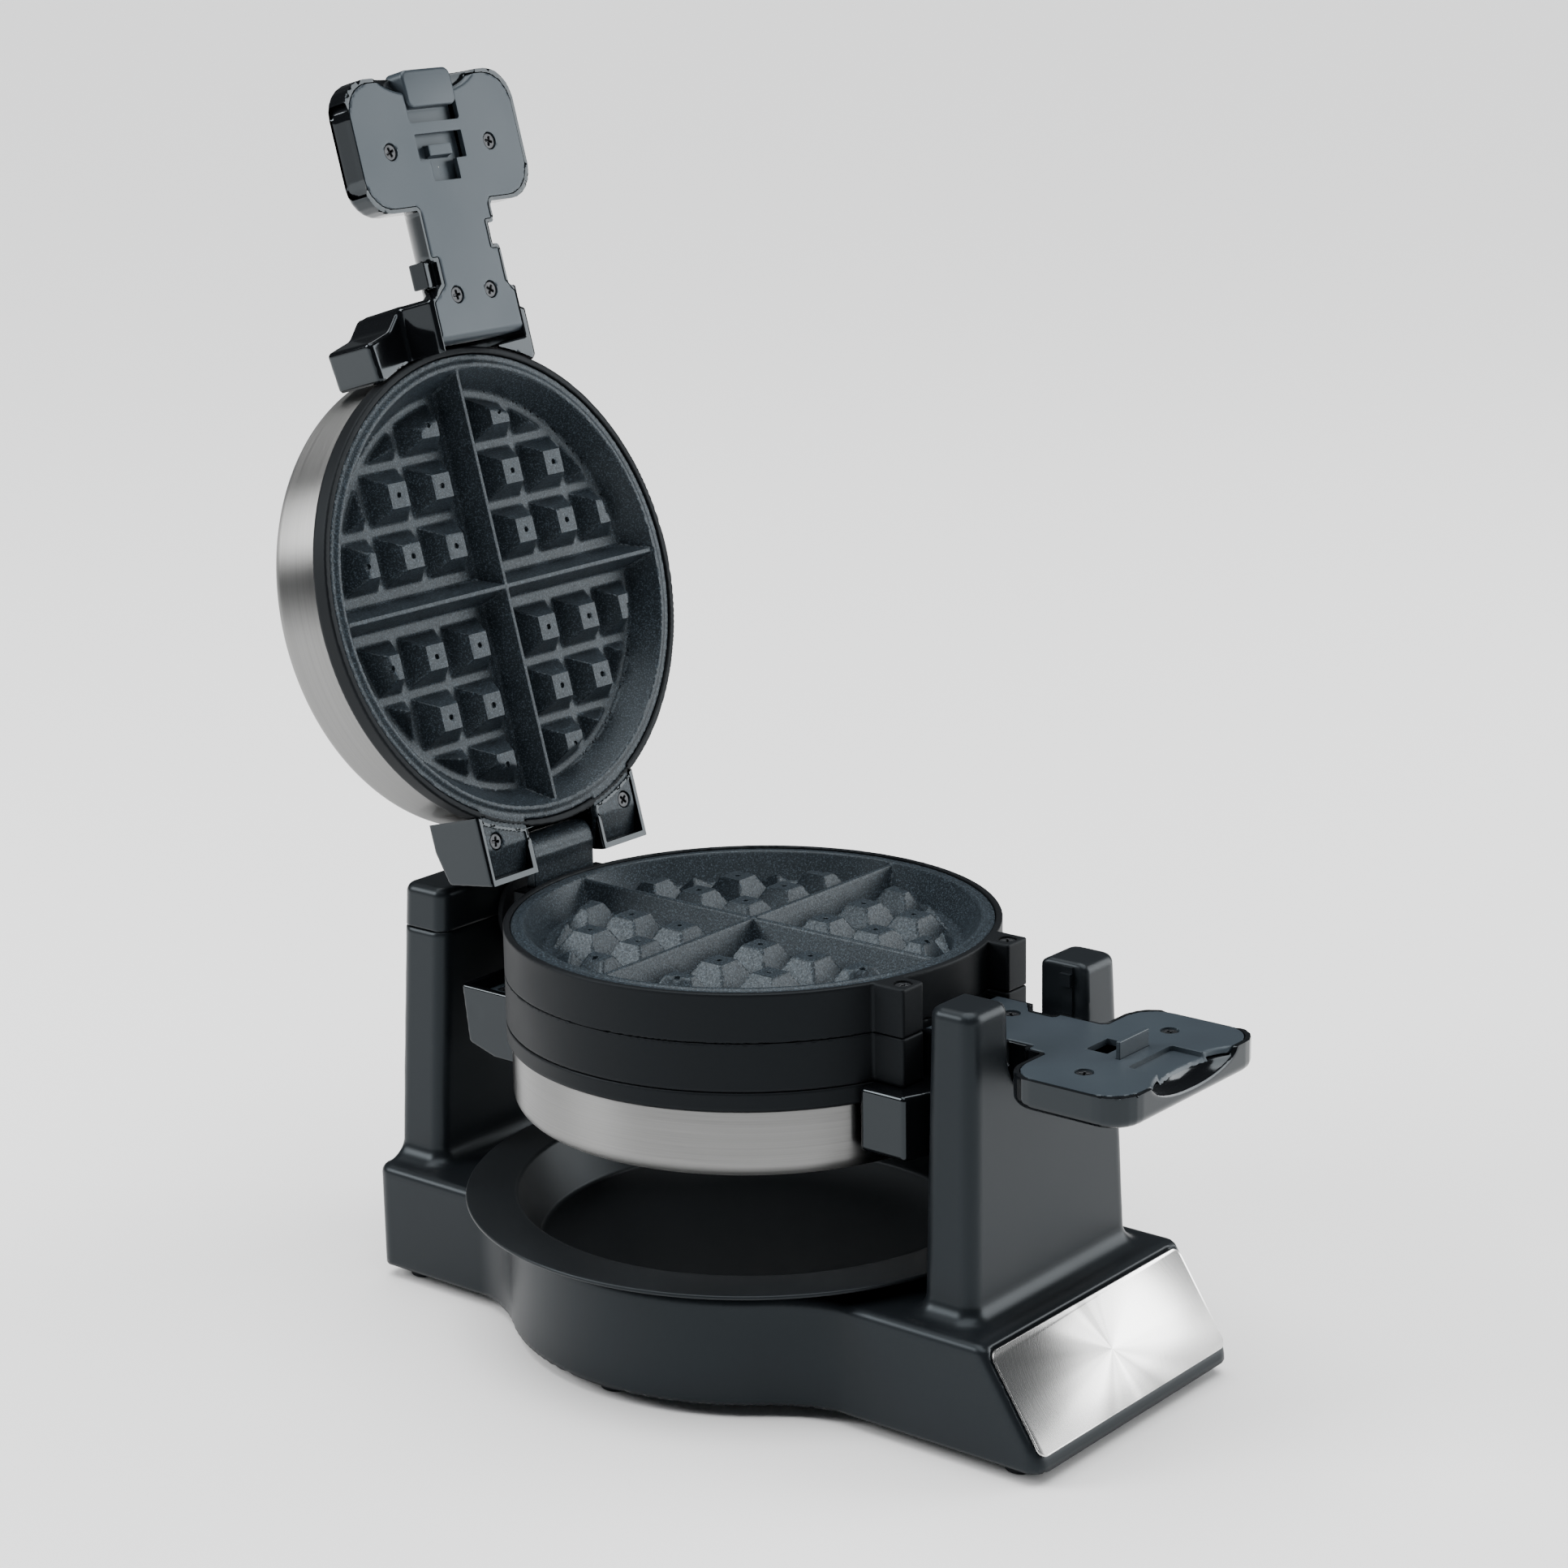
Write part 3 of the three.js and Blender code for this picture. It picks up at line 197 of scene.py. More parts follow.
DECK_Z = 52.5
BASE_Z = 6
WALL = 2.5
TRAY_T = 1.8
TRAY_WELL_R = RING_R
TRAY_BOTTOM_R = TRAY_WELL_R - 9
FORK_X = ROOT_X + 2
PIVOT_X = HOUSING_X - 9
LEFT_X = ((PIVOT_X - 30, PIVOT_X - 3.5), (PIVOT_X - 25, PIVOT_X))
BASE_LEFT = LEFT_X[0][0]
RIGHT_X = ((FORK_X, FORK_X + 25.3), (FORK_X, FORK_X + 22))
TOWER_HALF = (54.8, 49.8)
DECK_RIGHT = BASE_RIGHT - 27.1
LIP_Z = BASE_Z + 5
SLOPE = (BASE_RIGHT - DECK_RIGHT, DECK_Z - LIP_Z)  # run and rise of the sloped end
BASE_HALF = TOWER_HALF[0] + 14
BULGE_R = TRAY_WELL_R + 3
NOTCH_HALF = NECK_R + 5
SHAFT_R = 8
SHAFT_BORE = 5.5
SHAFT_OUT = LEFT_X[1][0] + 4
COLLAR_L = 5
BUSH_R = SHAFT_R + 5
FOOT_R = 6.8
FEET = tuple(
    (x, side * y)
    for side in (-1, 1)
    for x, y in (
        (BASE_LEFT + 15, BASE_HALF - 12.8), (0, BULGE_R - 13), (BASE_RIGHT - 17.6, BASE_HALF - 12.8))
)
RECESS = 3.4  # wall round the underside cover
PANEL_T = 1.2
PANEL_BORDER = 3
GLAND_X = BASE_LEFT + 43
GLAND_Z = 24
GLAND_R = 7
GLAND_FLANGE = 2.5
GLAND_OUT = 3

# ---- Where each body's own frame lies ------------------------------------------

STAND = Matrix.Translation((SHIFT_X / 1000, 0, 0))
UPPER = Matrix.Translation((SHIFT_X / 1000, 0, FLIP_Z / 1000))
LOWER = UPPER @ Matrix.Rotation(math.pi, 4, "X")
HINGE = Matrix.Translation((HINGE_X / 1000, 0, HINGE_W / 1000))
UPPER_LID = UPPER @ HINGE @ Matrix.Rotation(-math.radians(OPEN_ANGLE), 4, "Y") @ HINGE.inverted()
LOWER_LID = LOWER
HALVES = (("upper", UPPER, UPPER_LID), ("lower", LOWER, LOWER_LID))

# ---- Distance fields: negative inside, in millimetres --------------------------


def both(a, b, r=0.0):
    """What lies in both fields, with the edge between them rounded to radius r."""
    corner = np.hypot(np.maximum(a + r, 0), np.maximum(b + r, 0))
    return np.minimum(np.maximum(a, b), -r) + corner


def either(a, b, r=0.0):
    """What lies in either field, with the corner between them filled to radius r."""
    return -both(-a, -b, r)


def without(a, b, r=0.0):
    return both(a, -b, r)


def slab(v, low, high):
    return np.maximum(low - v, v - high)


def circle(x, y, r, cx=0.0, cy=0.0):
    return np.hypot(x - cx, y - cy) - r


def rectangle(x, y, x0, x1, y0, y1, r=0.0):
    across = np.abs(x - (x0 + x1) / 2) - (x1 - x0) / 2 + r
    along = np.abs(y - (y0 + y1) / 2) - (y1 - y0) / 2 + r
    outside = np.hypot(np.maximum(across, 0), np.maximum(along, 0))
    return outside + np.minimum(np.maximum(across, along), 0) - r


def block(x, y, z, x0, x1, y0, y1, z0, z1, plan_r=0.0, r=0.0):
    return both(rectangle(x, y, x0, x1, y0, y1, plan_r), slab(z, z0, z1), r)


def softened(points, radius=0.0, steps=6):
    """The outline with its corners rounded; a point may carry its own radius as a third number."""
    result = []
    count = len(points)
    for i, point in enumerate(points):
        r = point[2] if len(point) > 2 else radius
        before, here = Vector(points[i - 1][:2]), Vector(point[:2])
        after = Vector(points[(i + 1) % count][:2])
        back, on = before - here, after - here
        turn = back.angle(on)
        if r <= 0 or turn > 3.1:
            result.append(tuple(here))
            continue
        reach = min(r / math.tan(turn / 2), 0.49 * back.length, 0.49 * on.length)
        r = reach * math.tan(turn / 2)
        middle = here + (back.normalized() + on.normalized()).normalized() * (r / math.sin(turn / 2))
        first = here + back.normalized() * reach - middle
        last = here + on.normalized() * reach - middle
        sweep = math.atan2(first.x * last.y - first.y * last.x, first.dot(last))
        heading = math.atan2(first.y, first.x)
        for k in range(steps + 1):
            angle = heading + sweep * k / steps
            result.append((middle.x + r * math.cos(angle), middle.y + r * math.sin(angle)))
    return result


class Outline:
    """A closed outline as a table of signed distances, so that many points are looked up at once."""

    def __init__(self, points, pitch=0.25, margin=8.0):
        self.low = np.min(points, 0) - margin
        self.pitch = pitch
        size = np.ceil((np.max(points, 0) + margin - self.low) / pitch).astype(int) + 1
        x = self.low[0] + pitch * np.arange(size[0])[:, None]
        y = self.low[1] + pitch * np.arange(size[1])[None, :]
        nearest = np.full(size, np.inf)
        inside = np.zeros(size, bool)
        for (ax, ay), (bx, by) in zip(points, list(points[1:]) + [points[0]]):
            ex, ey = bx - ax, by - ay
            length = ex * ex + ey * ey
            if length < 1e-12:
                continue
            t = np.clip(((x - ax) * ex + (y - ay) * ey) / length, 0, 1)
            nearest = np.minimum(nearest, (x - ax - ex * t) ** 2 + (y - ay - ey * t) ** 2)
            if ey:
                inside ^= ((y >= ay) != (y >= by)) & (x < ax + (y - ay) * ex / ey)
        self.table = np.where(inside, -1, 1) * np.sqrt(nearest)

    def __call__(self, x, y):
        u, v = (x - self.low[0]) / self.pitch, (y - self.low[1]) / self.pitch
        last_u, last_v = self.table.shape[0] - 1.001, self.table.shape[1] - 1.001
        cu, cv = np.clip(u, 0, last_u), np.clip(v, 0, last_v)
        beyond = np.hypot(u - cu, v - cv) * self.pitch
        cu, cv = np.broadcast_arrays(cu, cv)
        i, j = cu.astype(int), cv.astype(int)
        s, t = cu - i, cv - j
        table = self.table
        low = table[i, j] * (1 - s) + table[i + 1, j] * s
        high = table[i, j + 1] * (1 - s) + table[i + 1, j + 1] * s
        return low * (1 - t) + high * t + beyond


# ---- Meshes --------------------------------------------------------------------

CHART = "brushing"  # along and across the brushing, in metres

CORNERS = np.array([(i, j, k) for i in (0, 1) for j in (0, 1) for k in (0, 1)])
EDGES = [
    (a, b) for a in range(8) for b in range(a + 1, 8)
    if np.abs(CORNERS[a] - CORNERS[b]).sum() == 1
]


def slope_of(field, points, step=0.03):
    """The direction in which a field grows fastest, at each point."""
    here = field(*points.T)
    rise = [field(*(points + step * unit).T) - here for unit in np.eye(3)]
    rise = np.stack(rise, 1)
    return rise / np.maximum(np.linalg.norm(rise, axis=1), 1e-9)[:, None]


def skin(low, high, cell, field):
    """Points and faces of a field's surface, found in a grid of cells between two corners.

    Each cell's point is pulled to where the surface's tangent planes meet, so that edges stay crisp.
    """
    cell = np.broadcast_to(cell, 3)
    axes = [np.arange(a - c, b + 2 * c, c) for a, b, c in zip(low, high, cell)]
    value = field(axes[0][:, None, None], axes[1][None, :, None], axes[2][None, None, :])
    value = np.ascontiguousarray(np.broadcast_to(value, [len(a) for a in axes]), np.float32)
    inside = value < 0
    ends = [slice(0, -1), slice(1, None)]
    count = sum(inside[ends[i], ends[j], ends[k]].astype(np.int8) for i, j, k in CORNERS)
    mixed = (count > 0) & (count < 8)
    cells = np.argwhere(mixed)
    number = np.full(mixed.shape, -1)
    number[mixed] = np.arange(len(cells))
    held = np.stack([value[tuple((cells + c).T)] for c in CORNERS], 1)
    corner = np.array([a[0] for a in axes]) + cells * cell
    total, hits = np.zeros((len(cells), 3)), np.zeros(len(cells))
    crossings = []
    for a, b in EDGES:
        at = np.nonzero((held[:, a] < 0) != (held[:, b] < 0))[0]
        t = held[at, a] / (held[at, a] - held[at, b])
        spot = (CORNERS[a] + t[:, None] * (CORNERS[b] - CORNERS[a])) * cell
        total[at] += spot
        hits[at] += 1
        crossings.append((at, spot))
    middle = total / hits[:, None]
    planes, pull = np.zeros((len(cells), 3, 3)), np.zeros((len(cells), 3))
    for at, spot in crossings:
        normal = slope_of(field, corner[at] + spot)
        planes[at] += normal[:, :, None] * normal[:, None, :]
        pull[at] += normal * np.sum(normal * (spot - middle[at]), 1)[:, None]
    shift = np.linalg.solve(planes + 0.15 * np.eye(3), pull[:, :, None])[:, :, 0]
    points = corner + np.clip(middle + shift, 0, cell)
    faces = []
    for axis in range(3):
        ins, num = np.moveaxis(inside, axis, 0), np.moveaxis(number, axis, 0)
        i, j, k = np.nonzero(ins[:-1, 1:-1, 1:-1] != ins[1:, 1:-1, 1:-1])
        quad = np.stack([num[i, j, k], num[i, j + 1, k], num[i, j + 1, k + 1], num[i, j, k + 1]], 1)
        out = ins[i, j + 1, k + 1] ^ (axis == 1)
        faces.append(np.where(out[:, None], quad, quad[:, ::-1]))
    return points, np.concatenate(faces)


def turned(profile, steps=128):
    """Points and faces of a closed [radius, height] profile turned round the upright axis."""
    rows = len(profile)
    angle = 2 * math.pi * np.arange(steps) / steps
    profile = np.array(profile)
    radius, height = profile[:, :1], profile[:, 1:]
    points = np.stack([radius * np.cos(angle), radius * np.sin(angle), height + 0 * angle], 2)
    number = np.arange(rows * steps).reshape(rows, steps)
    on, beside = np.roll(number, -1, 0), np.roll(number, -1, 1)
    corner = np.roll(on, -1, 1)
    faces = np.stack([number, beside, corner, on], 2).reshape(-1, 4)
    run = np.concatenate([[0], np.cumsum(np.hypot(*np.diff(np.vstack([profile, profile[:1]]), axis=0).T))])
    row, step = np.divmod(np.arange(rows * steps), steps)
    around = 2 * math.pi * profile[:, 0].max() / steps
    chart = np.stack([
        np.stack([step, step + 1, step + 1, step], 1) * around,
        np.stack([run[row], run[row], run[row + 1], run[row + 1]], 1)], 2)
    return points.reshape(-1, 3), faces, chart.reshape(-1, 2)


def piece(name, body, place, shape, finish, nodes=None, sharp=None, axis="Z"):
    points, faces, *chart = shape
    points = np.asarray(points, float) / 1000
    if axis == "X":
        points = points[:, [2, 0, 1]]
    elif axis == "Y":
        points = points[:, [1, 2, 0]]
    place = np.array(place)
    points = points @ place[:3, :3].T + place[:3, 3]
    mesh = bpy.data.meshes.new(name)
    mesh.from_pydata(points.tolist(), [], [list(f) for f in faces])
    if chart:
        layer = mesh.uv_layers.new(name=CHART)
        layer.data.foreach_set("uv", (np.asarray(chart[0]) / 1000).ravel())
    clean(mesh)
    mesh.shade_smooth()
    if sharp:
        mesh.set_sharp_from_angle(angle=math.radians(sharp))
    mesh.materials.append(finish_of(finish))
    made = bpy.data.objects.new(name, mesh)
    bpy.context.scene.collection.objects.link(made)
    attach(made, body)
    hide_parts(*(nodes or [name]))
    return made


def clean(mesh):
    """Merges points that meet, drops faces without area and turns every face outwards."""
    work = bmesh.new()
    work.from_mesh(mesh)
    bmesh.ops.remove_doubles(work, verts=work.verts, dist=1e-7)
    bmesh.ops.dissolve_degenerate(work, edges=work.edges, dist=1e-8)
    if work.calc_volume(signed=True) < 0:
        bmesh.ops.reverse_faces(work, faces=work.faces)
    work.to_mesh(mesh)
    work.free()


def sizes():
    return bpy.context.scene.waffle_sizes


# ---- Stand ---------------------------------------------------------------------


def tower(x, y, z, sides, inset=0.0):
    t = (z - DECK_Z) / (TOWER_TOP - DECK_Z)
    x0 = sides[0][0] + (sides[1][0] - sides[0][0]) * t + inset
    x1 = sides[0][1] + (sides[1][1] - sides[0][1]) * t - inset
    half = TOWER_HALF[0] + (TOWER_HALF[1] - TOWER_HALF[0]) * t - inset
    return rectangle(x, y, x0, x1, -half, half, mm(sizes().tower_edge))


def base_plan(x, y, inset=0.0):
    ends = rectangle(x, y, BASE_LEFT, BASE_RIGHT, -BASE_HALF, BASE_HALF, 7)
    return either(ends, circle(x, y, BULGE_R), mm(sizes().base_blend)) + inset


def off_slope(x, z):
    """How far a point lies beyond the sloped end."""
    run, rise = SLOPE
    return ((x - DECK_RIGHT) * rise + (z - DECK_Z) * run) / math.hypot(run, rise)


def fork_notch(x, y, z):
    half_round = np.where(z > FLIP_Z, np.abs(y), np.hypot(y, z - FLIP_Z)) - NOTCH_HALF
    return np.maximum(half_round, (LEFT_X[0][1] + RIGHT_X[0][0]) / 2 - x)


def tray_well(x, y, z):
    fall = TRAY_TOP_Z - TRAY_T - TRAY_FLOOR_Z
    slope = (TRAY_WELL_R - TRAY_BOTTOM_R) / fall
    bottom = TRAY_FLOOR_Z - FIT
    side = np.hypot(x, y) - (TRAY_BOTTOM_R + 1 + slope * (z - bottom))
    return np.maximum(np.maximum(side / math.hypot(1, slope), bottom - z), z - DECK_Z - OVER)


def bush_hole(x, y, z):
    return np.maximum(circle(y, z, BUSH_R + FIT, 0, FLIP_Z), slab(x, PIVOT_X - 12, PIVOT_X + 12))


def base_field(x, y, z):
    fillet = mm(sizes().tower_fillet)
    deck = both(z - DECK_Z, off_slope(x, z), 3)
    fork = both(tower(x, y, z, RIGHT_X), z - TOWER_TOP, 4)
    hinge_side = both(tower(x, y, z, LEFT_X), z - FLIP_Z, 0.4)
    body = either(either(deck, fork, fillet), hinge_side, fillet)
    body = both(body, base_plan(x, y), 4)
    body = both(body, BASE_Z - z, 1)
    body = without(body, tray_well(x, y, z), 2)
    body = without(body, fork_notch(x, y, z), 2)
    body = without(body, bush_hole(x, y, z), 0.5)
    gland = np.maximum(circle(x, z, GLAND_R + FIT, GLAND_X, GLAND_Z), BASE_HALF - 8 - y)
    body = without(body, gland)
    panel = both(panel_plan(x, y, z, FIT), -PANEL_T / 2 - FIT - off_slope(x, z), 0)
    body = without(body, panel, 0.5)
    recess = np.maximum(base_plan(x, y, RECESS), off_slope(x, z) + RECESS)
    recess = np.maximum(recess, z - BASE_Z - WALL - FIT)
    return without(body, recess, 0.4)


def panel_plan(x, y, z, grow):
    run, rise = SLOPE
    length = math.hypot(run, rise)
    down = ((x - DECK_RIGHT) * run - (z - DECK_Z) * rise) / length
    half = BASE_HALF - PANEL_BORDER + grow
    low, high = PANEL_BORDER - grow, length - PANEL_BORDER / 2 + grow
    return rectangle(down, y, low, high, -half, half, 4)


def cap_field(x, y, z):
    cap = both(tower(x, y, z, LEFT_X), z - TOWER_TOP, 4)
    cap = both(cap, FLIP_Z + FIT - z, 0.6)
    hollow = np.maximum(tower(x, y, z, LEFT_X, WALL), z - TOWER_TOP + WALL)
    return without(without(cap, hollow), bush_hole(x, y, z), 0.5)


def bottom_field(x, y, z):
    cover = np.maximum(base_plan(x, y, RECESS + FIT), off_slope(x, z) + RECESS + FIT)
    return both(cover, slab(z, BASE_Z, BASE_Z + WALL), 0.6)


def end_panel():
    """The thin plate on the sloped end, with rounded corners and a fine broken edge."""
    length = math.hypot(*SLOPE)
    half = BASE_HALF - PANEL_BORDER
    low, high = PANEL_BORDER, length - PANEL_BORDER / 2

    ring = np.array(softened([(low, -half), (high, -half), (high, half), (low, half)], 4, 8))
    middle = ring.mean(0)
    rows = []
    top = PANEL_T / 2
    for inset, n in ((0.3, -top), (0, -top + 0.3), (0, top - 0.3), (0.3, top)):
        shrunk = middle + (ring - middle) * (1 - inset / np.array([high - low, 2 * half]) * 2)
        rows.append(np.column_stack([shrunk, np.full(len(ring), n)]))
    points = np.concatenate(rows)
    count = len(ring)
    faces = [list(range(count))[::-1], list(range(3 * count, 4 * count))]  # back and front
    for row in range(3):
        for i in range(count):
            j = (i + 1) % count
            faces.append([row * count + i, row * count + j, (row + 1) * count + j, (row + 1) * count + i])
    chart = np.concatenate([points[face, :2] for face in faces])
    return points, faces, chart


def build_stand():
    low = (BASE_LEFT, -BULGE_R, BASE_Z)
    high = (BASE_RIGHT, BULGE_R, TOWER_TOP)
    piece("base_body", "stand", STAND, skin(low, high, 1.6, base_field), "satin_black", ["base_shell"])
    low = (LEFT_X[0][0], -TOWER_HALF[0], FLIP_Z)
    high = (LEFT_X[1][1], TOWER_HALF[0], TOWER_TOP)
    piece("tower_cap", "stand", STAND, skin(low, high, 0.9, cap_field), "satin_black", ["left_tower_cap"])
    low, high = (BASE_LEFT, -BULGE_R, BASE_Z), (BASE_RIGHT, BULGE_R, BASE_Z + WALL)
    piece("underside_cover", "stand", STAND, skin(low, high, (2.5, 2.5, 0.7), bottom_field), "satin_black",
          ["bottom_cover"])


def build_trim():
    run, rise = SLOPE
    slope = STAND @ Matrix.Translation((DECK_RIGHT / 1000, 0, DECK_Z / 1000))
    slope = slope @ Matrix.Rotation(math.atan2(rise, run), 4, "Y")
    piece("end_plate", "stand", slope, end_panel(), "spun_panel", ["end_panel"], sharp=40)
    profile = softened([
        (0, 0), (FOOT_R * 0.88, 0, 1.2), (FOOT_R, BASE_Z - FIT, 0.6), (0, BASE_Z - FIT)], 0)
    for i, (x, y) in enumerate(FEET):
        place = STAND @ Matrix.Translation((x / 1000, y / 1000, 0))
        piece(f"foot_pad_{i + 1}", "stand", place, turned(profile, 40), "rubber", [f"foot_{i + 1}"], sharp=50)
    inner, outer = BASE_HALF - WALL - GLAND_OUT, BASE_HALF + FIT
    gland = softened([
        (GLAND_R / 2, inner), (GLAND_R, inner, 0.5), (GLAND_R, outer), (GLAND_R + GLAND_FLANGE, outer, 0.3),
        (GLAND_R + GLAND_FLANGE, outer + GLAND_OUT, 1.2), (GLAND_R / 2, outer + GLAND_OUT, 1)], 0)
    place = STAND @ Matrix.Translation((GLAND_X / 1000, 0, GLAND_Z / 1000))
    piece("cord_inlet", "stand", place, turned(gland, 48), "rubber", ["cord_gland"], sharp=50, axis="Y")
    inner, outer = PIVOT_X - WALL - FIT - 2.5, PIVOT_X + FIT
    bush = softened([
        (SHAFT_R + FIT, inner), (BUSH_R, inner, 0.5), (BUSH_R, outer), (BUSH_R + 4, outer, 0.3),
        (BUSH_R + 4, outer + 2.5, 1), (SHAFT_R + FIT, outer + 2.5, 0.6)], 0)
    place = STAND @ Matrix.Translation((0, 0, FLIP_Z / 1000))
    piece("shaft_bush", "stand", place, turned(bush, 64), "rubber", ["pivot_bush"], sharp=50, axis="X")
    for name in ("fork_detent", "terminal_block"):
        dress(name)


def dress(name, edge=0.4):
    """Gives a node of the frame its finish, and breaks its edges."""
    node = frame["nodes"][name]
    finish = next(p["material_slot"] for p in frame["record"]["subparts"] if p["node"] == name)
    node.data.materials.clear()
    node.data.materials.append(finish_of(finish))
    bevel = node.modifiers.new("broken edge", "BEVEL")
    bevel.width = edge / 1000
    bevel.segments = 3
    bevel.limit_method = "ANGLE"


def build_tray():
    rim_under, floor_top = TRAY_TOP_Z - TRAY_T, TRAY_FLOOR_Z + TRAY_T
    profile = softened([
        (0, TRAY_FLOOR_Z), (TRAY_BOTTOM_R, TRAY_FLOOR_Z, 3), (TRAY_WELL_R, rim_under, 3),
        (TRAY_R, rim_under, 0.8), (TRAY_R, TRAY_TOP_Z, 0.9), (TRAY_WELL_R - TRAY_T, TRAY_TOP_Z, 2.4),
        (TRAY_BOTTOM_R - TRAY_T, floor_top, 2.4), (0, floor_top)], 0)
    piece("drip_pan", "tray", STAND, turned(profile, 192), "tray", ["drip_tray"], sharp=50)


# ---- Grill ---------------------------------------------------------------------


def ring_outline():
    bore = RING_R - RING_WALL
    return Outline(softened([
        (RING_R, FIT / 2, 0.5), (RING_R, RIM_W, 0.7), (bore, RIM_W, 0.5), (bore, LEDGE_W),
        (bore - LEDGE, LEDGE_W, 0.4), (bore - LEDGE, LEDGE_W - 3), (bore, LEDGE_W - 3 - LEDGE),
        (bore, FIT / 2)]), 0.2)


def bracket_leg(x, y, w, grow=0.0):
    x1 = HINGE_X + CURL_R
    half = BRACKET_HALF + grow
    x0 = x1 - BRACKET_T
    return block(x, y, w, x0 - grow, x1 + grow, -half, half, SHAFT_R + 3 - grow, HINGE_W, 0.6, 0.6)


def screw_seat(x, y, w, cx, cy, top):
    return np.maximum(circle(x, y, SCREW_HEAD_R + FIT, cx, cy), top - SCREW_HEAD_T - FIT - w)


def ring_field(outline):
    screw_y = (LUG_Y[0] + LUG_Y[1]) / 2

    def field(x, y, w):
        r = np.hypot(x, y)
        outside = RING_R - 1 - r
        body = outline(r, w)
        lugs = rectangle(x, np.abs(y), RING_R - 20, LUG_X, *LUG_Y, 1)
        lugs = both(np.maximum(lugs, outside), slab(w, FIT / 2, RIM_W), 0.8)
        hinge = rectangle(x, y, BLOCK_X, -RING_R + 12, -BLOCK_HALF, BLOCK_HALF, 1.5)
        hinge = both(np.maximum(hinge, outside), slab(w, FIT / 2, BLOCK_TOP), 1)
        body = either(either(body, lugs, 0.6), hinge, 0.6)
        body = without(body, bracket_leg(x, y, w, FIT), 0.2)
        body = without(body, np.maximum(circle(y, w, SHAFT_R + FIT), x + RING_R - 12), 0.3)
        return without(body, screw_seat(x, np.abs(y), w, RING_SCREW_X, screw_y, RIM_W), 0.3)

    return field


def plate_outline():
    return Outline(softened([
        (-OVER, FLOOR_W - PLATE_T), (FLOOR_R + 1, FLOOR_W - PLATE_T, 2),
        (WELL_R + 1.6, FLANGE_TOP - FLANGE_T, 1.5), (FLANGE_R, FLANGE_TOP - FLANGE_T, 0.4),
        (FLANGE_R, FLANGE_TOP, 0.6),
        (WELL_R + BEAD + 0.4, FLANGE_TOP, 0.5), (WELL_R + BEAD - 0.4, RIM_W, 0.5), (WELL_R, RIM_W, 0.7),
        (FLOOR_R, FLOOR_W, 1.5), (-OVER, FLOOR_W)]), 0.2)


def pegs_field(x, y, w):
    """Square pegs that taper upwards, each with a dimple, in rows on both sides of the dividers."""
    pitch, top = mm(sizes().peg_pitch), mm(sizes().peg_top)
    tall = RIM_W - PEG_DROP - FLOOR_W
    slope = (PEG_BASE - top) / tall
    lean = math.hypot(1, slope)
    half = PEG_BASE - slope * (w - FLOOR_W)
    ax, ay = np.abs(x), np.abs(y)
    dx = ax - PEG_FIRST - pitch * np.clip(np.round((ax - PEG_FIRST) / pitch), 0, PEG_LAST_ROW)
    dy = ay - PEG_FIRST - pitch * np.clip(np.round((ay - PEG_FIRST) / pitch), 0, PEG_LAST_ROW)
    peg = rectangle(dx, dy, -half, half, -half, half, 0.4) / lean
    peg = both(peg, w - RIM_W + PEG_DROP, 0.2)
    dimple = np.maximum(circle(dx, dy, DIMPLE_R), RIM_W - PEG_DROP - DIMPLE_DEPTH - w)
    peg = without(peg, dimple, 0.1)
    limit = np.hypot(x, y) - (PEGS_R + 1 - 0.6 * (w - FLOOR_W + 1))
    return np.maximum(both(peg, limit / 1.17, 0.8), FLOOR_W - 1 - w)


def dividers_field(x, y, w):
    top = RIM_W - DIVIDER_DROP
    slope = (DIVIDER_BASE - DIVIDER_TOP) / (top - FLOOR_W)
    half = DIVIDER_BASE - slope * (w - FLOOR_W)
    side = (np.minimum(np.abs(x), np.abs(y)) - half) / math.hypot(1, slope)
    ridge = both(side, w - top, 0.3)
    limit = np.hypot(x, y) - (FLOOR_R + 1 + (WELL_R - FLOOR_R) * (w - FLOOR_W) / (RIM_W - FLOOR_W))
    return np.maximum(np.maximum(ridge, limit), FLOOR_W - 1 - w)


def plate_field(outline):
    def field(x, y, w):
        body = either(outline(np.hypot(x, y), w), dividers_field(x, y, w), 0.5)
        return either(body, pegs_field(x, y, w), 0.4)

    return field


def ear_outline(grow):
    face = LID_W + BEAD_RISE
    fold = face + 5
    return Outline(softened([
        (-RING_R + 20, face - grow), (EAR_FOLD_X, face - grow, 2), (EAR_X - grow, fold - grow, 0.8),
        (EAR_X - grow, fold + FLANGE_T + grow, 0.8), (EAR_FOLD_X, face + FLANGE_T + grow, 1),
        (-RING_R + 20, face + FLANGE_T + grow)]), 0.2)


def ears_field(outline, grow=0.0):
    y0, y1 = EAR_IN + 0.4 - grow, EAR_OUT - HOUSING_WALL - FIT + grow

    def field(x, y, w):
        ear = both(outline(x, w), slab(np.abs(y), y0, y1), 0.5)
        return np.maximum(ear, FLANGE_R - 1.5 - np.hypot(x, y))

    return field


def lid_plate_field(plate, ears):
    def field(x, y, w):
        body = either(plate(x, y, RIM_W + LID_W - w), ears(x, y, w), 0.5)
        seat = np.maximum(
            circle(x, np.abs(y), SCREW_HEAD_R + FIT, *EAR_SCREWS[1]),
            w - LID_W - BEAD_RISE - SCREW_HEAD_T - FIT)
        return without(body, seat, 0.4)

    return field


def build_rings():
    field = ring_field(ring_outline())
    low, high = (BLOCK_X, -RING_R, 0), (LUG_X, RING_R, RIM_W)
    for side, place, _ in HALVES:
        piece(f"{side}_grill_ring", "grill", place, skin(low, high, 0.8, field), "phenolic_black",
              [f"{side}_ring"], sharp=50)


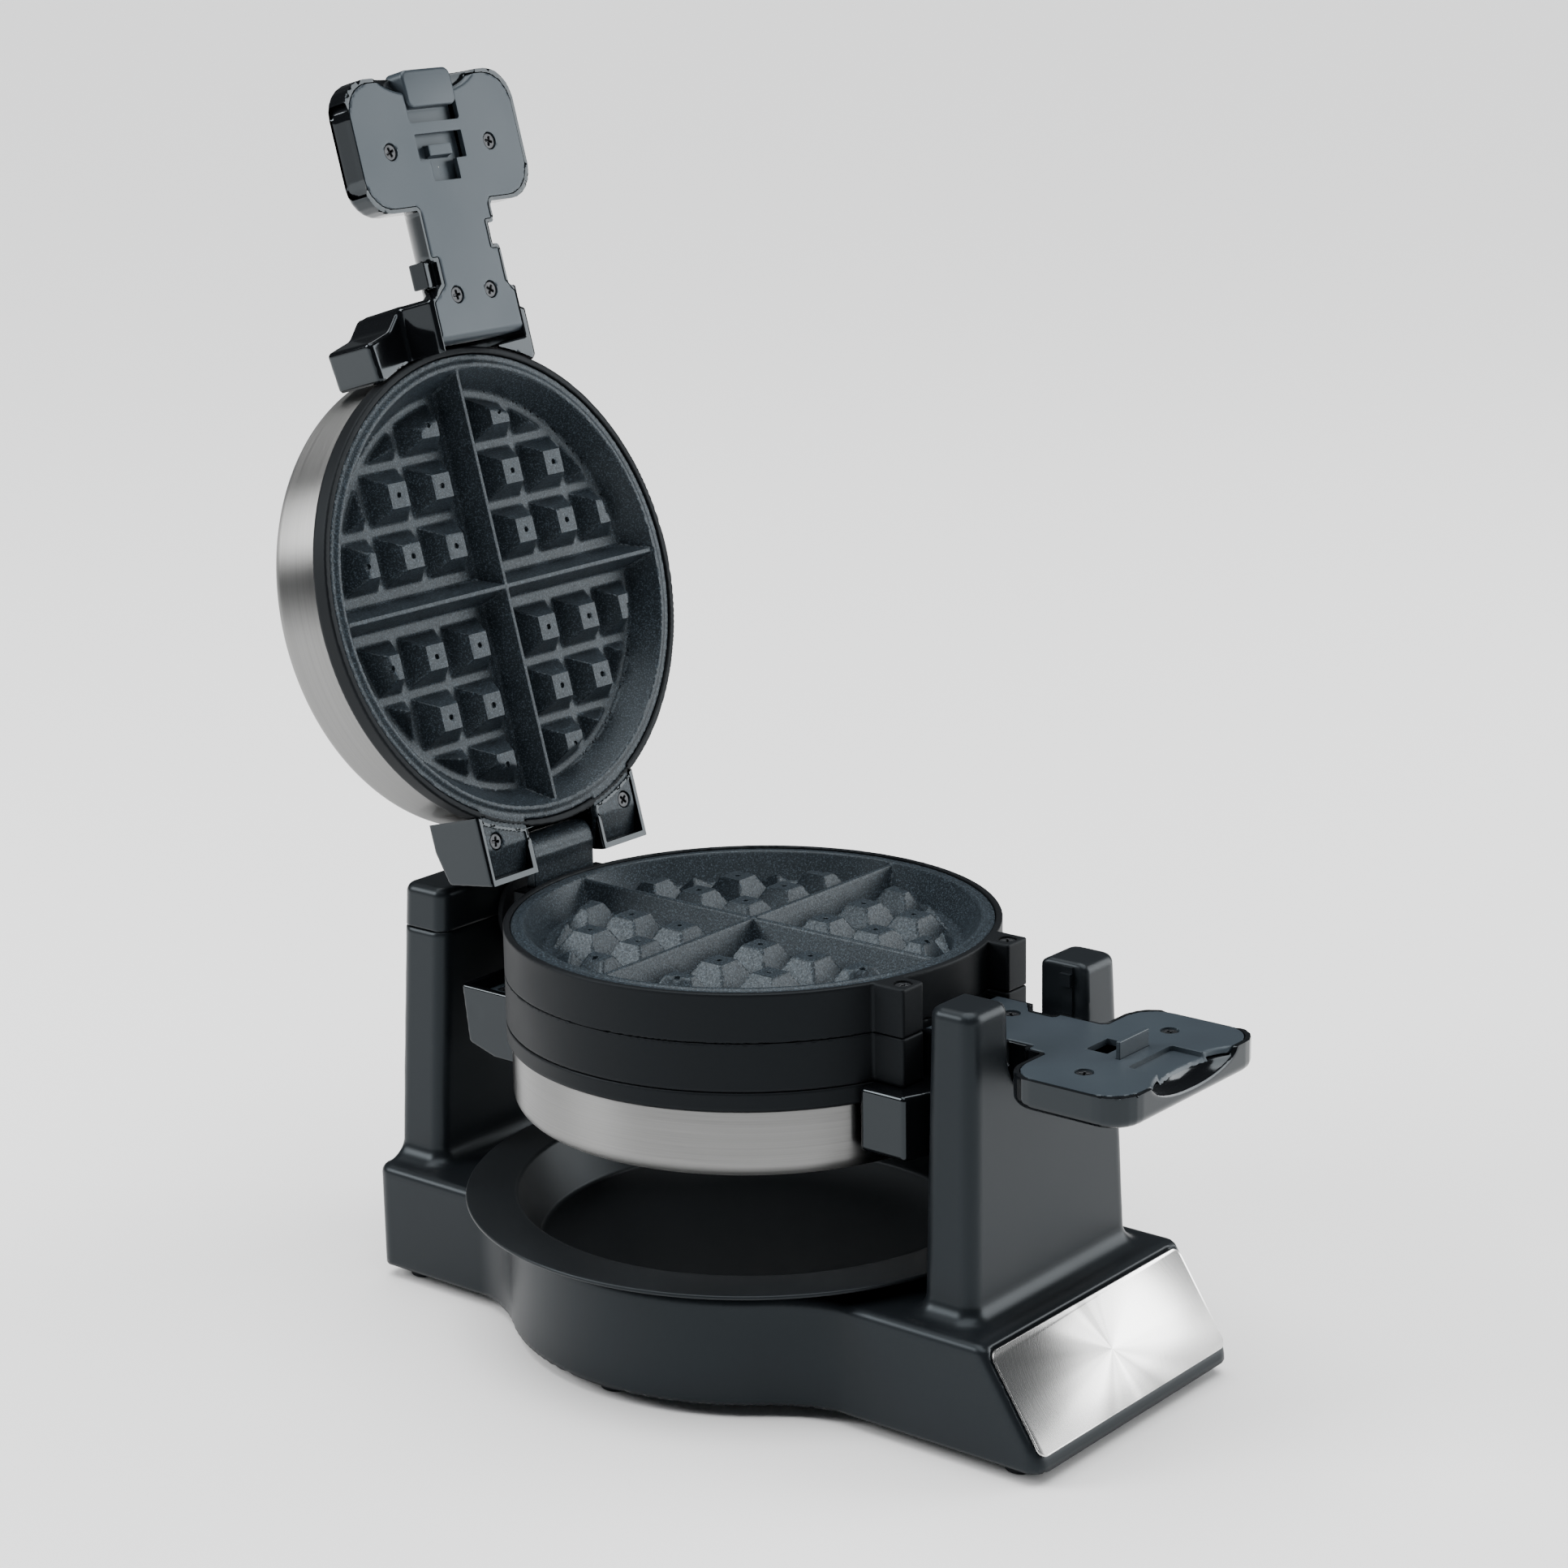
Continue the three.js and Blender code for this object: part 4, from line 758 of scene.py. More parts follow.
def build_plates():
    plate = plate_field(plate_outline())
    lid_plate = lid_plate_field(plate, ears_field(ear_outline(0)))
    fine, coarse = 0.95, 1.3
    for side, place, lid in HALVES:
        cell = fine if side == "upper" else coarse
        low, high = (-FLANGE_R, -FLANGE_R, FLOOR_W - PLATE_T), (FLANGE_R, FLANGE_R, RIM_W)
        piece(f"{side}_grid", "grill", place, skin(low, high, cell, plate), "non_stick",
              [f"{side}_mid_plate"], sharp=44)
        low = (EAR_X, -FLANGE_R, LID_W)
        high = (FLANGE_R, FLANGE_R, LID_W + RIM_W - FLOOR_W + PLATE_T)
        piece(f"{side}_lid_grid", f"{side}_lid", lid, skin(low, high, cell, lid_plate), "non_stick",
              [f"{side}_lid_plate"], sharp=44)


# ---- Lids ----------------------------------------------------------------------


def lid_rim_field(outline, ears):
    def field(x, y, w):
        body = without(outline(np.hypot(x, y), w), ears(x, y, w), 0.2)
        shank = circle(x, np.abs(y), SHANK_R + FIT, *EAR_SCREWS[1])
        return without(body, shank)

    return field


def cover_profile():
    flat = COVER_TOP - COVER_CROWN
    drop = COVER_CROWN * COVER_EDGE / (COVER_R - COVER_EDGE)
    return softened([
        (0, COVER_TOP - COVER_T), (COVER_R - COVER_T, flat - COVER_T, COVER_EDGE - COVER_T),
        (COVER_R - COVER_T, COVER_W, 0.3), (COVER_R, COVER_W, 0.4), (COVER_R, flat - drop, COVER_EDGE),
        (0, COVER_TOP)], 0, 10)


def build_lids():
    bore = RING_R - RING_WALL
    seat = LID_W + BEAD_RISE + FLANGE_T + FIT
    top = LID_W + LID_RIM_H
    outline = Outline(softened([
        (RING_R, LID_W, 0.6), (RING_R, top, 1.4), (bore - LEDGE, top, 0.4), (bore - LEDGE, seat, 0.3),
        (bore, seat), (bore, LID_W, 0.4)]), 0.2)
    field = lid_rim_field(outline, ears_field(ear_outline(FIT), FIT))
    for side, _, place in HALVES:
        body = f"{side}_lid"
        low, high = (-RING_R, -RING_R, LID_W), (RING_R, RING_R, top)
        piece(f"{side}_lid_band", body, place, skin(low, high, 0.8, field), "phenolic_black",
              [f"{side}_lid_rim"])
        piece(f"{side}_steel_cover", body, place, turned(cover_profile(), 192), "brushed_cover",
              [f"{side}_cover"], sharp=40)


# ---- Hinges --------------------------------------------------------------------


def bracket_field(x, y, w):
    curl = both(circle(x, w, CURL_R, HINGE_X, HINGE_W), np.abs(y) - BRACKET_HALF, 0.8)
    body = either(bracket_leg(x, y, w), curl, 1.5)
    body = both(body, np.abs(y) - BRACKET_HALF, 0.4)
    return without(body, circle(x, w, PIN_R + FIT, HINGE_X, HINGE_W), 0.3)


def housing_outline(inset):
    return Outline(softened([
        (-RING_R + 22, LID_W), (HOUSING_X + inset, LID_W, 0.6), (HOUSING_X + inset, LID_W + 1.7, 0.6),
        (HOUSING_X + 3 + inset, HOUSING_W - 4.3 - inset, 2.5), (-RING_R, HOUSING_W - inset, 2.5),
        (-RING_R + 22, HOUSING_W - inset)]), 0.2)


def housing_field(outer, inner, ears):
    wall = HOUSING_WALL

    def field(x, y, w):
        r = np.hypot(x, y)
        body = both(outer(x, w), np.abs(y) - EAR_OUT, 1.2)
        body = both(body, RING_R + FIT - r, 0.4)
        notch = both(np.abs(y) - EAR_IN, w - HINGE_W - CURL_R - 2, 1)
        body = without(body, notch, 0.5)
        pocket = np.maximum(inner(x, w), slab(np.abs(y), EAR_IN + wall, EAR_OUT - wall))
        body = without(body, np.maximum(pocket, RING_R + FIT + wall - r), 0.3)
        body = without(body, ears(x, y, w), 0.2)
        bore = np.maximum(circle(x, w, PIN_R + FIT, HINGE_X, HINGE_W), np.abs(y) - EAR_OUT + 1)
        return without(body, bore)

    return field


def rod(r, start, end, edge=0.4):
    return softened([(0, start), (r, start, edge), (r, end, edge), (0, end)], 0, 3)


def build_hinges():
    ears = ears_field(ear_outline(FIT), FIT)
    housing = housing_field(housing_outline(0), housing_outline(HOUSING_WALL), ears)
    reach = EAR_OUT - HOUSING_WALL / 2
    for side, place, lid in HALVES:
        low = (HINGE_X - CURL_R, -BRACKET_HALF, SHAFT_R + 3)
        high = (HINGE_X + CURL_R, BRACKET_HALF, HINGE_W + CURL_R)
        piece(f"{side}_hinge_curl", "grill", place, skin(low, high, 0.6, bracket_field), "non_stick",
              [f"{side}_hinge_bracket"])
        low, high = (HOUSING_X, -EAR_OUT, LID_W), (-RING_R + 22, EAR_OUT, HOUSING_W)
        piece(f"{side}_hinge_box", f"{side}_lid", lid, skin(low, high, 0.7, housing), "gloss_black",
              [f"{side}_hinge_housing"], sharp=50)
        at_pin = lid @ Matrix.Translation((HINGE_X / 1000, 0, HINGE_W / 1000))
        piece(f"{side}_hinge_rod", f"{side}_lid", at_pin, turned(rod(PIN_R, -reach, reach), 32),
              "bright_steel", [f"{side}_hinge_pin"], sharp=50, axis="Y")
    collar, end = BLOCK_X - COLLAR_L, -RING_R + 1
    shaft = softened([
        (SHAFT_BORE, SHAFT_OUT), (SHAFT_R, SHAFT_OUT, 0.6), (SHAFT_R, collar), (BUSH_R, collar, 0.6),
        (BUSH_R, BLOCK_X - FIT, 0.6), (SHAFT_R, BLOCK_X - FIT), (SHAFT_R, end, 0.6), (SHAFT_BORE, end)])
    piece("flip_shaft", "grill", UPPER, turned(shaft, 64), "bright_steel", ["pivot_shaft"],
          sharp=40, axis="X")
    dress("shaft_nut", 0.5)


# ---- Handles -------------------------------------------------------------------


def grip_outline(grow):
    x0, x1 = GRIP_X - grow, GRIP_END - SHELL_T + grow
    y = GRIP_HALF - SHELL_T + grow
    r = GRIP_CORNER
    return [(x0, -y, r), (x1, -y, r), (x1, y, r), (x0, y, r)]


def cover_outline(grow=0.0):
    shoulder, step = FOOT_X + 17, NECK_NOTCH
    grip = grip_outline(0)
    points = [
        (FOOT_X, -FOOT_HALF), (shoulder, -FOOT_HALF), (shoulder + 6.5, -NECK_HALF), (step, -NECK_HALF),
        (step, -NECK_STEP), (GRIP_X, -NECK_STEP, 3), grip[0], grip[1], grip[2], grip[3],
        (GRIP_X, NECK_STEP, 3), (step + 13, NECK_STEP), (step + 13, NECK_HALF), (step, NECK_HALF),
        (step, NECK_STEP), (shoulder + 4.5, NECK_STEP), (shoulder, FOOT_HALF), (FOOT_X, FOOT_HALF)]
    outline = Outline(softened([p if len(p) > 2 else (*p, 1) for p in points]))
    return lambda x, y: outline(x, y) - grow


def scoop(x, y, w):
    """The dished place for a thumb in the end of a grip, part of an egg-shaped hollow."""
    reach, half, depth = SCOOP_DEPTH + SCOOP_OUT, SCOOP_HALF + SCOOP_OUT, SCOOP_DEPTH
    along, across, down = (x - GRIP_END - SCOOP_OUT) / reach, y / half, (w - FACE_W + 1) / depth
    far = np.sqrt(along ** 2 + across ** 2 + down ** 2)
    steep = np.sqrt((along / reach) ** 2 + (across / half) ** 2 + (down / depth) ** 2)
    return far * (far - 1) / np.maximum(steep, 1e-6)


def pad_room(x, y, grow):
    """Plan of the room for the thumb pad and its travel."""
    half = BUTTON_HALF + grow
    return rectangle(x, y, BUTTON_X - LATCH_TRAVEL - grow, BUTTON_END + OVER, -half, half, 1.5)


def slots_field(side):
    def latch(x, y):
        wide = rectangle(x, y, TOOTH_X - 0.5, SLOT_END, -SLOT_HALF, SLOT_HALF, 0.5)
        narrow = rectangle(x, y, SLOT_START, TOOTH_X, -SLOT_NARROW, SLOT_NARROW, 0.5)
        return np.minimum(np.minimum(wide, narrow), pad_room(x, y, FIT))

    def catch(x, y):
        hole = rectangle(x, y, SLOT_START, TOOTH_X + 0.5, -HOLE_HALF, HOLE_HALF, 0.5)
        half = BLADE_HALF + FIT
        return np.minimum(hole, rectangle(x, y, BLADE_X - FIT, BLADE_X + BLADE_T + FIT, -half, half))

    return latch if side == "upper" else catch


def handle_seats(x, y, w):
    heads = [circle(x, np.abs(y), SCREW_HEAD_R + FIT, cx, cy) for cx, cy in HANDLE_SCREWS[1::2]]
    return np.maximum(np.minimum(*heads), w - FACE_W - SCREW_HEAD_T - FIT)


def handle_cover_field(side, outline):
    slots = slots_field(side)

    def field(x, y, w):
        face = both(outline(x, y), slab(w, FACE_W, FACE_TOP), 0.5)
        wall = block(x, y, w, FOOT_X - 0.5, FOOT_X + FACE_T, -FOOT_HALF, FOOT_HALF,
                     FACE_W, LID_W + 2, 0.5, 0.5)
        wall = np.maximum(wall, RING_R + 1 - np.hypot(x, y))
        body = either(face, wall, 1.5)
        roll = both(FACE_W - w, FOOT_X - x, 3.5)
        body = np.maximum(body, roll)
        body = without(body, scoop(x, y, w), 1)
        body = without(body, slots(x, y), 0.3)
        if side == "lower":
            recess = np.maximum(pad_room(x, y, 1), w - FACE_W - PAD_RISE - 0.6)
            pocket = np.maximum(pad_room(x, y, 2.2), -scoop(x, y, w))
            pocket = np.maximum(pocket, slab(w, FACE_W, FACE_TOP + 1.4))
            body = without(either(body, pocket), recess, 0.3)
        return without(body, handle_seats(x, y, w), 0.3)

    return field


def wings_outline():
    waist = FOOT_HALF + FIT + SHELL_T
    return Outline(softened([
        (RING_R - 8, -WING_SQUARE), (RING_R + 8, -WING_SQUARE - 2, 2), (RING_R + 12, -WING_SQUARE + 12, 8),
        (ROOT_X - 1, -waist, 4), (ROOT_X - 1, waist, 4), (RING_R + 15, WING_POINTED - 7, 1.5),
        (RING_R + 12, WING_POINTED, 1.5), (RING_R - 9, WING_POINTED, 1), (RING_R / 2, 0)]))


def root_outline(inset):
    low = FACE_W - OVER if inset else FACE_W
    return Outline(softened([
        (RING_R - 10, low), (ROOT_X - inset, low, 0.5), (ROOT_X - inset, NECK_R - SHELL_T),
        (ROOT_X - 1 - inset, HOUSING_W - 8 - inset, 3), (ROOT_X - 8 - inset, HOUSING_W - inset, 3),
        (RING_R - 10, HOUSING_W - inset)]))


def handle_shell_field(side, recess):
    wings, root, hollow = wings_outline(), root_outline(0), root_outline(SHELL_T)
    grip, tray = Outline(softened(grip_outline(SHELL_T))), Outline(softened(grip_outline(FIT)))
    back = FACE_W + GRIP_DEPTH
    foot = FOOT_HALF + FIT

    def field(x, y, w):
        body = both(grip(x, y), w - back, 4)
        body = both(body, FACE_W - w, 0.5)
        lip = recess(x, y) + FIT - SHELL_T
        tube = both(circle(y, w, NECK_R), slab(x, ROOT_X - OVER, GRIP_X + 6), 0.5)
        tube = both(tube, lip, 1.5)
        boss = block(x, y, w, NECK_NOTCH - 12, NECK_NOTCH - 1, -NECK_STEP - 3, -NECK_HALF,
                     FACE_W + 3, FACE_W + 12, 0.5, 0.5)
        body = either(either(body, both(tube, FACE_W - w, 0.5), 2), boss, 0.5)
        stem = both(root(x, w), np.abs(y) - foot - SHELL_T, 2)
        clasp = both(wings(x, y), slab(w, LID_W, HOUSING_W - 3), 2)
        body = either(either(body, stem, 2), clasp, 2)
        body = both(body, FACE_W - w, 0.3)
        under = SHELL_T - scoop(x, y, w)
        room = np.maximum(pad_room(x, y, FIT), w - SLIDER_W - SLIDER_T - FIT)
        if side == "upper":
            under = np.minimum(under, room)
        body = without(body, np.maximum(np.maximum(tray(x, y), w - back + SHELL_T), under), 0.3)
        core = np.maximum(recess(x, y), slab(x, ROOT_X - 2 * OVER, GRIP_X + 4))
        core = np.maximum(circle(y, w, NECK_R - SHELL_T), core)
        body = without(body, core, 0.3)
        body = without(body, np.maximum(hollow(x, w), np.abs(y) - foot), 0.3)
        inside = block(x, y, w, FOOT_X - OVER, ROOT_X - SHELL_T, -foot, foot, FACE_W - OVER, LID_W + 3)
        body = without(body, inside)
        body = without(body, circle(x, y, RING_R + 1), 0.4)
        body = without(body, np.maximum(recess(x, y), w - FACE_TOP - FIT))
        body = without(body, scoop(x, y, w), 1)
        return without(body, room, 0.3) if side == "upper" else body

    return field


def build_handles():
    outline, recess = cover_outline(), cover_outline(FIT)
    for side, _, place in HALVES:
        low, high = (RING_R - 10, -WING_SQUARE - 2, FACE_W), (GRIP_END, WING_POINTED, HOUSING_W)
        shell = handle_shell_field(side, recess)
        piece(f"{side}_handle_back", f"{side}_lid", place, skin(low, high, 0.9, shell), "gloss_black",
              [f"{side}_handle_shell"], sharp=50)
        low, high = (RING_R, -GRIP_HALF, FACE_W), (GRIP_END, GRIP_HALF, LID_W + 2)
        cover = handle_cover_field(side, outline)
        piece(f"{side}_handle_face", f"{side}_lid", place, skin(low, high, 0.7, cover), "handle_matte",
              [f"{side}_handle_cover"], sharp=50)


# ---- Latch ---------------------------------------------------------------------


def button_field(x, y, w):
    back, tip = SLIDER_W + 0.5, FACE_W + 0.6
    shutter_w = FACE_TOP + 1.6
    end = BUTTON_X + 4
    slider = block(x, y, w, TOOTH_X - 2, end, -6, 6, SLIDER_W, SLIDER_W + SLIDER_T, 0.5, 0.3)
    shutter = block(x, y, w, SLOT_START - 1, end, -SLOT_HALF, SLOT_HALF, shutter_w, shutter_w + 1, 0.5, 0.3)
    slider = np.minimum(slider, shutter)
    lean = (x - TOOTH_X) - (back - w) / (back - tip) * TOOTH_L / 4
    tooth = both(np.maximum(-lean, x - TOOTH_X - TOOTH_L), np.abs(y) - TOOTH_HALF, 0.4)
    tooth = both(tooth, slab(w, tip, back), 0.4)
    crown = FACE_W - PAD_RISE + (np.hypot(x - BUTTON_X - 6, 0.6 * y) / 14) ** 2
    pad = block(x, y, w, BUTTON_X, BUTTON_END, -BUTTON_HALF, BUTTON_HALF,
                -OVER, SLIDER_W + SLIDER_T, 3.5, 1)
    pad = both(pad, crown - w, 1)
    return np.minimum(either(slider, tooth, 0.3), either(slider, pad, 0.3))


def blade_field(x, y, w):
    plan = rectangle(x, y, BLADE_X, BLADE_X + BLADE_T, -BLADE_HALF, BLADE_HALF)
    return both(plan, slab(w, -BLADE_RISE, BLADE_ROOT), 0.3)


def build_latch():
    low = (SLOT_START - 1, -BUTTON_HALF, FACE_W - PAD_RISE)
    high = (BUTTON_END, BUTTON_HALF, SLIDER_W + SLIDER_T)
    piece("thumb_latch", "latch", UPPER_LID, skin(low, high, 0.5, button_field), "handle_matte",
          ["latch_button"], sharp=50)
    low = (BLADE_X, -BLADE_HALF, -BLADE_RISE)
    high = (BLADE_X + BLADE_T, BLADE_HALF, BLADE_ROOT)
    piece("catch_plate", "lower_lid", LOWER_LID, skin(low, high, 0.3, blade_field), "handle_matte",
          ["catch_blade"])


# ---- Screws --------------------------------------------------------------------


def screw_field(x, y, w):
    """A pan head with a cross recess, its face at height 0 and its shank downwards."""
    r = np.hypot(x, y)
    head = both(r - SCREW_HEAD_R, slab(w, -SCREW_HEAD_T, -SCREW_CROWN), 0.5)
    half = 0.55 + 0.12 * w  # the cross narrows as it goes down
    slot = np.maximum(np.minimum(np.abs(x), np.abs(y)) - half, r - CROSS_R)
    slot = np.maximum(slot, -CROSS_DEPTH - w)
    head = without(head, slot, 0.1)
    shank = both(r - SHANK_R, slab(w, -SCREW_L, -SCREW_HEAD_T + 0.2), 0.2)
    return np.minimum(head, shank)


def build_screws():
    r = SCREW_HEAD_R
    shape = skin((-r, -r, -SCREW_L), (r, r, 0), 0.25, screw_field)
    down = Matrix.Rotation(math.pi, 4, "X")
    y = (LUG_Y[0] + LUG_Y[1]) / 2
    screws = [(f"ring_screw_{i + 1}", "grill", UPPER, RING_SCREW_X, side * y, RIM_W, False)
              for i, side in enumerate((-1, 1))]
    for side, _, place in HALVES:
        body = f"{side}_lid"
        screws += [(f"{side}_handle_screw_{i + 1}", body, place, x, -y, FACE_W, True)
                   for i, (x, y) in enumerate(HANDLE_SCREWS)]
        screws += [(f"{side}_ear_screw_{i + 1}", body, place, x, -y, LID_W + BEAD_RISE, True)
                   for i, (x, y) in enumerate(EAR_SCREWS)]
    for turn, (name, body, place, x, y, w, facing_down) in enumerate(screws):
        at = place @ Matrix.Translation((x / 1000, y / 1000, w / 1000))
        if facing_down:
            at = at @ down
        at = at @ Matrix.Rotation(math.radians(37 * turn), 4, "Z")
        piece("cross_" + name, body, at, shape, "screws", [name])


# ---- Finishes ------------------------------------------------------------------


COOL_SHEEN = (0.8, 0.92, 1, 1)  # the blue cast of a sheen on black
LONG_GRAIN = 0.004  # a scratch's pattern is drawn out to 250 times its width


def linear(code):
    """An sRGB hex colour as linear red, green and blue."""
    parts = [int(code[i:i + 2], 16) / 255 for i in (1, 3, 5)]
    return tuple(c / 12.92 if c <= 0.04045 else ((c + 0.055) / 1.055) ** 2.4 for c in parts)


def add(tree, kind, inputs=(), **settings):
    """Adds a shader node with its settings; inputs pairs a socket with a value or another node's output."""
    node = tree.nodes.new("ShaderNode" + kind)
    for key, value in settings.items():
        setattr(node, key, value)
    for socket, value in dict(inputs).items():
        if isinstance(value, bpy.types.NodeSocket):
            tree.links.new(value, node.inputs[socket])
        else:
            node.inputs[socket].default_value = value
    return node


def start(name, colour, roughness, metallic=0.0, ior=1.5):
    finish = bpy.data.materials.new(name)
    finish.use_nodes = True
    tree = finish.node_tree
    shader = tree.nodes["Principled BSDF"]
    shader.inputs["Base Color"].default_value = (*colour, 1)
    shader.inputs["Roughness"].default_value = roughness
    shader.inputs["Metallic"].default_value = metallic
    shader.inputs["IOR"].default_value = ior
    place = add(tree, "TexCoord").outputs["Object"]
    return finish, tree, shader, place


def noise(tree, place, size_mm, detail=2.0, roughness=0.5):
    """Even mottling whose patches are about size_mm across."""
    return add(tree, "TexNoise", {"Vector": place, "Scale": 1000 / size_mm, "Detail": detail,
                                  "Roughness": roughness}).outputs["Fac"]


def spread(tree, value, low, high, start_at=0.3, end_at=0.7):
    """Maps mottling onto a range."""
    return add(tree, "MapRange", {"Value": value, "From Min": start_at, "From Max": end_at,
                                  "To Min": low, "To Max": high}).outputs["Result"]


def tint(tree, factor, dark, light):
    return add(tree, "Mix", {0: factor, 6: (*dark, 1), 7: (*light, 1)}, data_type="RGBA").outputs[2]


def bump(tree, shader, height, depth_mm, strength=1.0):
    made = add(tree, "Bump", {"Height": height, "Distance": depth_mm / 1000, "Strength": strength})
    tree.links.new(made.outputs["Normal"], shader.inputs["Normal"])
    return made


def shade(colour, factor):
    return tuple(c * factor for c in colour)


def colours():
    return bpy.context.scene.waffle_colours


def moulded_plastic(name, colour, roughness, grain_mm, depth_mm, wander, sheen=0.2):
    """Moulded plastic: the mould's spark-eroded grain, and slow changes of gloss where it cooled unevenly."""
    finish, tree, shader, place = start(name, colour, roughness, ior=1.52)
    shader.inputs["Specular IOR Level"].default_value = sheen
    shader.inputs["Specular Tint"].default_value = COOL_SHEEN
    grain = noise(tree, place, grain_mm, 3)
    slow = noise(tree, place, 45, 2)
    tree.links.new(spread(tree, slow, roughness - wander, roughness + wander), shader.inputs["Roughness"])
    tree.links.new(tint(tree, spread(tree, slow, 0, 1), shade(colour, 0.9), shade(colour, 1.1)),
                   shader.inputs["Base Color"])
    bump(tree, shader, grain, depth_mm)
    return finish


def satin_moulded_abs():
    # Satin ABS from a fine spark-eroded mould: a broad, soft sheen with a blue-black cast.
    # The real grain is about 0.1 mm; it is drawn at 0.5 mm so that it shows.
    return moulded_plastic("satin_moulded_abs", colours().stand, 0.36, 0.5, 0.006, 0.03)


def matt_moulded_phenolic():
    # Heat-proof phenolic, pressed in a matt mould: nearly black, with a dry, grey sheen.
    return moulded_plastic("matt_moulded_phenolic", colours().ring, 0.52, 0.4, 0.012, 0.04, 0.12)


def matt_moulded_nylon():
    # Glass-filled nylon: a fine, even matt face that turns blue-grey in raking light.
    return moulded_plastic("matt_moulded_nylon", colours().handle_face, 0.42, 0.35, 0.008, 0.03, 0.4)


def polished_moulded_abs():
    # ABS from a polished mould: sharp reflections with a very slight ripple.
    return moulded_plastic("polished_moulded_abs", colours().handle_back, 0.1, 30, 0.02, 0.02, 0.32)


def grained_non_stick():
    # Sprayed non-stick coating on cast aluminium: charcoal, with fine pale flecks of filler
    # and the orange-peel of the spray, about 0.9 mm across.
    colour = colours().plate
    finish, tree, shader, place = start("grained_non_stick_on_cast_aluminium", colour, 0.4, ior=1.42)
    shader.inputs["Specular IOR Level"].default_value = 0.3
    shader.inputs["Specular Tint"].default_value = COOL_SHEEN
    peel = noise(tree, place, 0.9, 4, 0.6)
    fleck = noise(tree, place, 0.7, 2, 0.7)
    flecks = spread(tree, fleck, 0, 1, 0.5, 0.72)
    tree.links.new(tint(tree, flecks, colour, shade(colour, 6)), shader.inputs["Base Color"])
    tree.links.new(spread(tree, peel, 0.28, 0.5), shader.inputs["Roughness"])
    bump(tree, shader, peel, 0.08, 0.9)
    return finish


def ring_brushed_stainless():
    # 430 stainless, brushed while it turned: fine scratches run round the cover,
    # so the highlight is drawn out across them. Scratches are 0.3 mm apart, coarser than real ones.
    colour = colours().steel
    finish, tree, shader, _ = start("ring_brushed_stainless", colour, 0.34, metallic=1.0)
    chart = add(tree, "UVMap", uv_map=CHART).outputs[0]
    lines = add(tree, "Mapping", {"Vector": chart, "Scale": (LONG_GRAIN, 1, 1)}).outputs[0]
    scratch = noise(tree, lines, 0.3, 4, 0.7)
    broad = noise(tree, lines, 0.8, 2)
    tree.links.new(spread(tree, scratch, 0.28, 0.42), shader.inputs["Roughness"])
    tree.links.new(tint(tree, spread(tree, broad, 0, 1), shade(colour, 0.93), shade(colour, 1.06)),
                   shader.inputs["Base Color"])
    shader.inputs["Anisotropic"].default_value = 0.9
    shader.inputs["Anisotropic Rotation"].default_value = 0.25
    tangent = add(tree, "Tangent", direction_type="UV_MAP", uv_map=CHART).outputs[0]
    tree.links.new(tangent, shader.inputs["Tangent"])
    bump(tree, shader, scratch, 0.004, 0.6)
    return finish


def spun_stainless():
    # Stainless spun with an abrasive from its middle. The fans of light and dark that meet in the centre are a
    # painted reflection in the base colour; the fine scratches round the middle are real and set roughness and
    # bump.
    colour = colours().panel
    finish, tree, shader, _ = start("spun_stainless_with_painted_fans", colour, 0.3, metallic=1.0)
    middle = (math.hypot(*SLOPE) + PANEL_BORDER / 2) / 2
    chart = add(tree, "UVMap", uv_map=CHART).outputs[0]
    centred = add(tree, "VectorMath", {0: chart, 1: (middle / 1000, 0, 0)}, operation="SUBTRACT").outputs[0]
    parts = add(tree, "SeparateXYZ", {"Vector": centred}).outputs
    around = add(tree, "Math", {0: parts["Y"], 1: parts["X"]}, operation="ARCTAN2").outputs[0]
    radius = add(tree, "VectorMath", {0: centred}, operation="LENGTH").outputs["Value"]
    sine = add(tree, "Math", {0: around}, operation="SINE").outputs[0]
    cosine = add(tree, "Math", {0: around}, operation="COSINE").outputs[0]
    # Painted reflection: the angle round the middle places light and dark fans.
    painted_fan_angle = add(tree, "CombineXYZ", {"X": sine, "Y": cosine}).outputs[0]
    painted_fan_reflection = add(tree, "TexNoise", {"Vector": painted_fan_angle, "Scale": 1.5, "Detail": 1.5}).outputs["Fac"]
    rings = add(tree, "CombineXYZ", {"X": radius}).outputs[0]
    scratch = noise(tree, rings, 0.35, 4, 0.7)
    # Painted reflection: the base colour runs from darker to lighter across the fans.
    tree.links.new(tint(tree, spread(tree, painted_fan_reflection, 0, 1, 0.35, 0.65), shade(colour, 0.6), shade(colour, 1.5)),
                   shader.inputs["Base Color"])
    tree.links.new(spread(tree, scratch, 0.2, 0.34), shader.inputs["Roughness"])
    bump(tree, shader, scratch, 0.003, 0.5)
    return finish


def satin_coated_tray():
    # Satin coating on a pressed pan: very even, with a dull, wide highlight.
    return moulded_plastic("satin_coated_steel", colours().tray, 0.4, 0.6, 0.004, 0.03)


def oxidised_sheath():
    # Steel sheath of a heating element, browned by use.
    finish, tree, shader, place = start("oxidised_steel_sheath", linear("#4a4540"), 0.5, metallic=1.0)
    stain = noise(tree, place, 12, 4)
    tree.links.new(tint(tree, stain, linear("#2c2a29"), linear("#5f564c")), shader.inputs["Base Color"])
    return finish


def black_zinc():
    # Black zinc plating on steel: dark and a little oily, so edges catch light.
    finish, tree, shader, place = start("black_zinc_plated_steel", linear("#2a2c2f"), 0.34, metallic=0.6)
    wear = noise(tree, place, 1.5, 3)
    tree.links.new(spread(tree, wear, 0.26, 0.44), shader.inputs["Roughness"])
    return finish


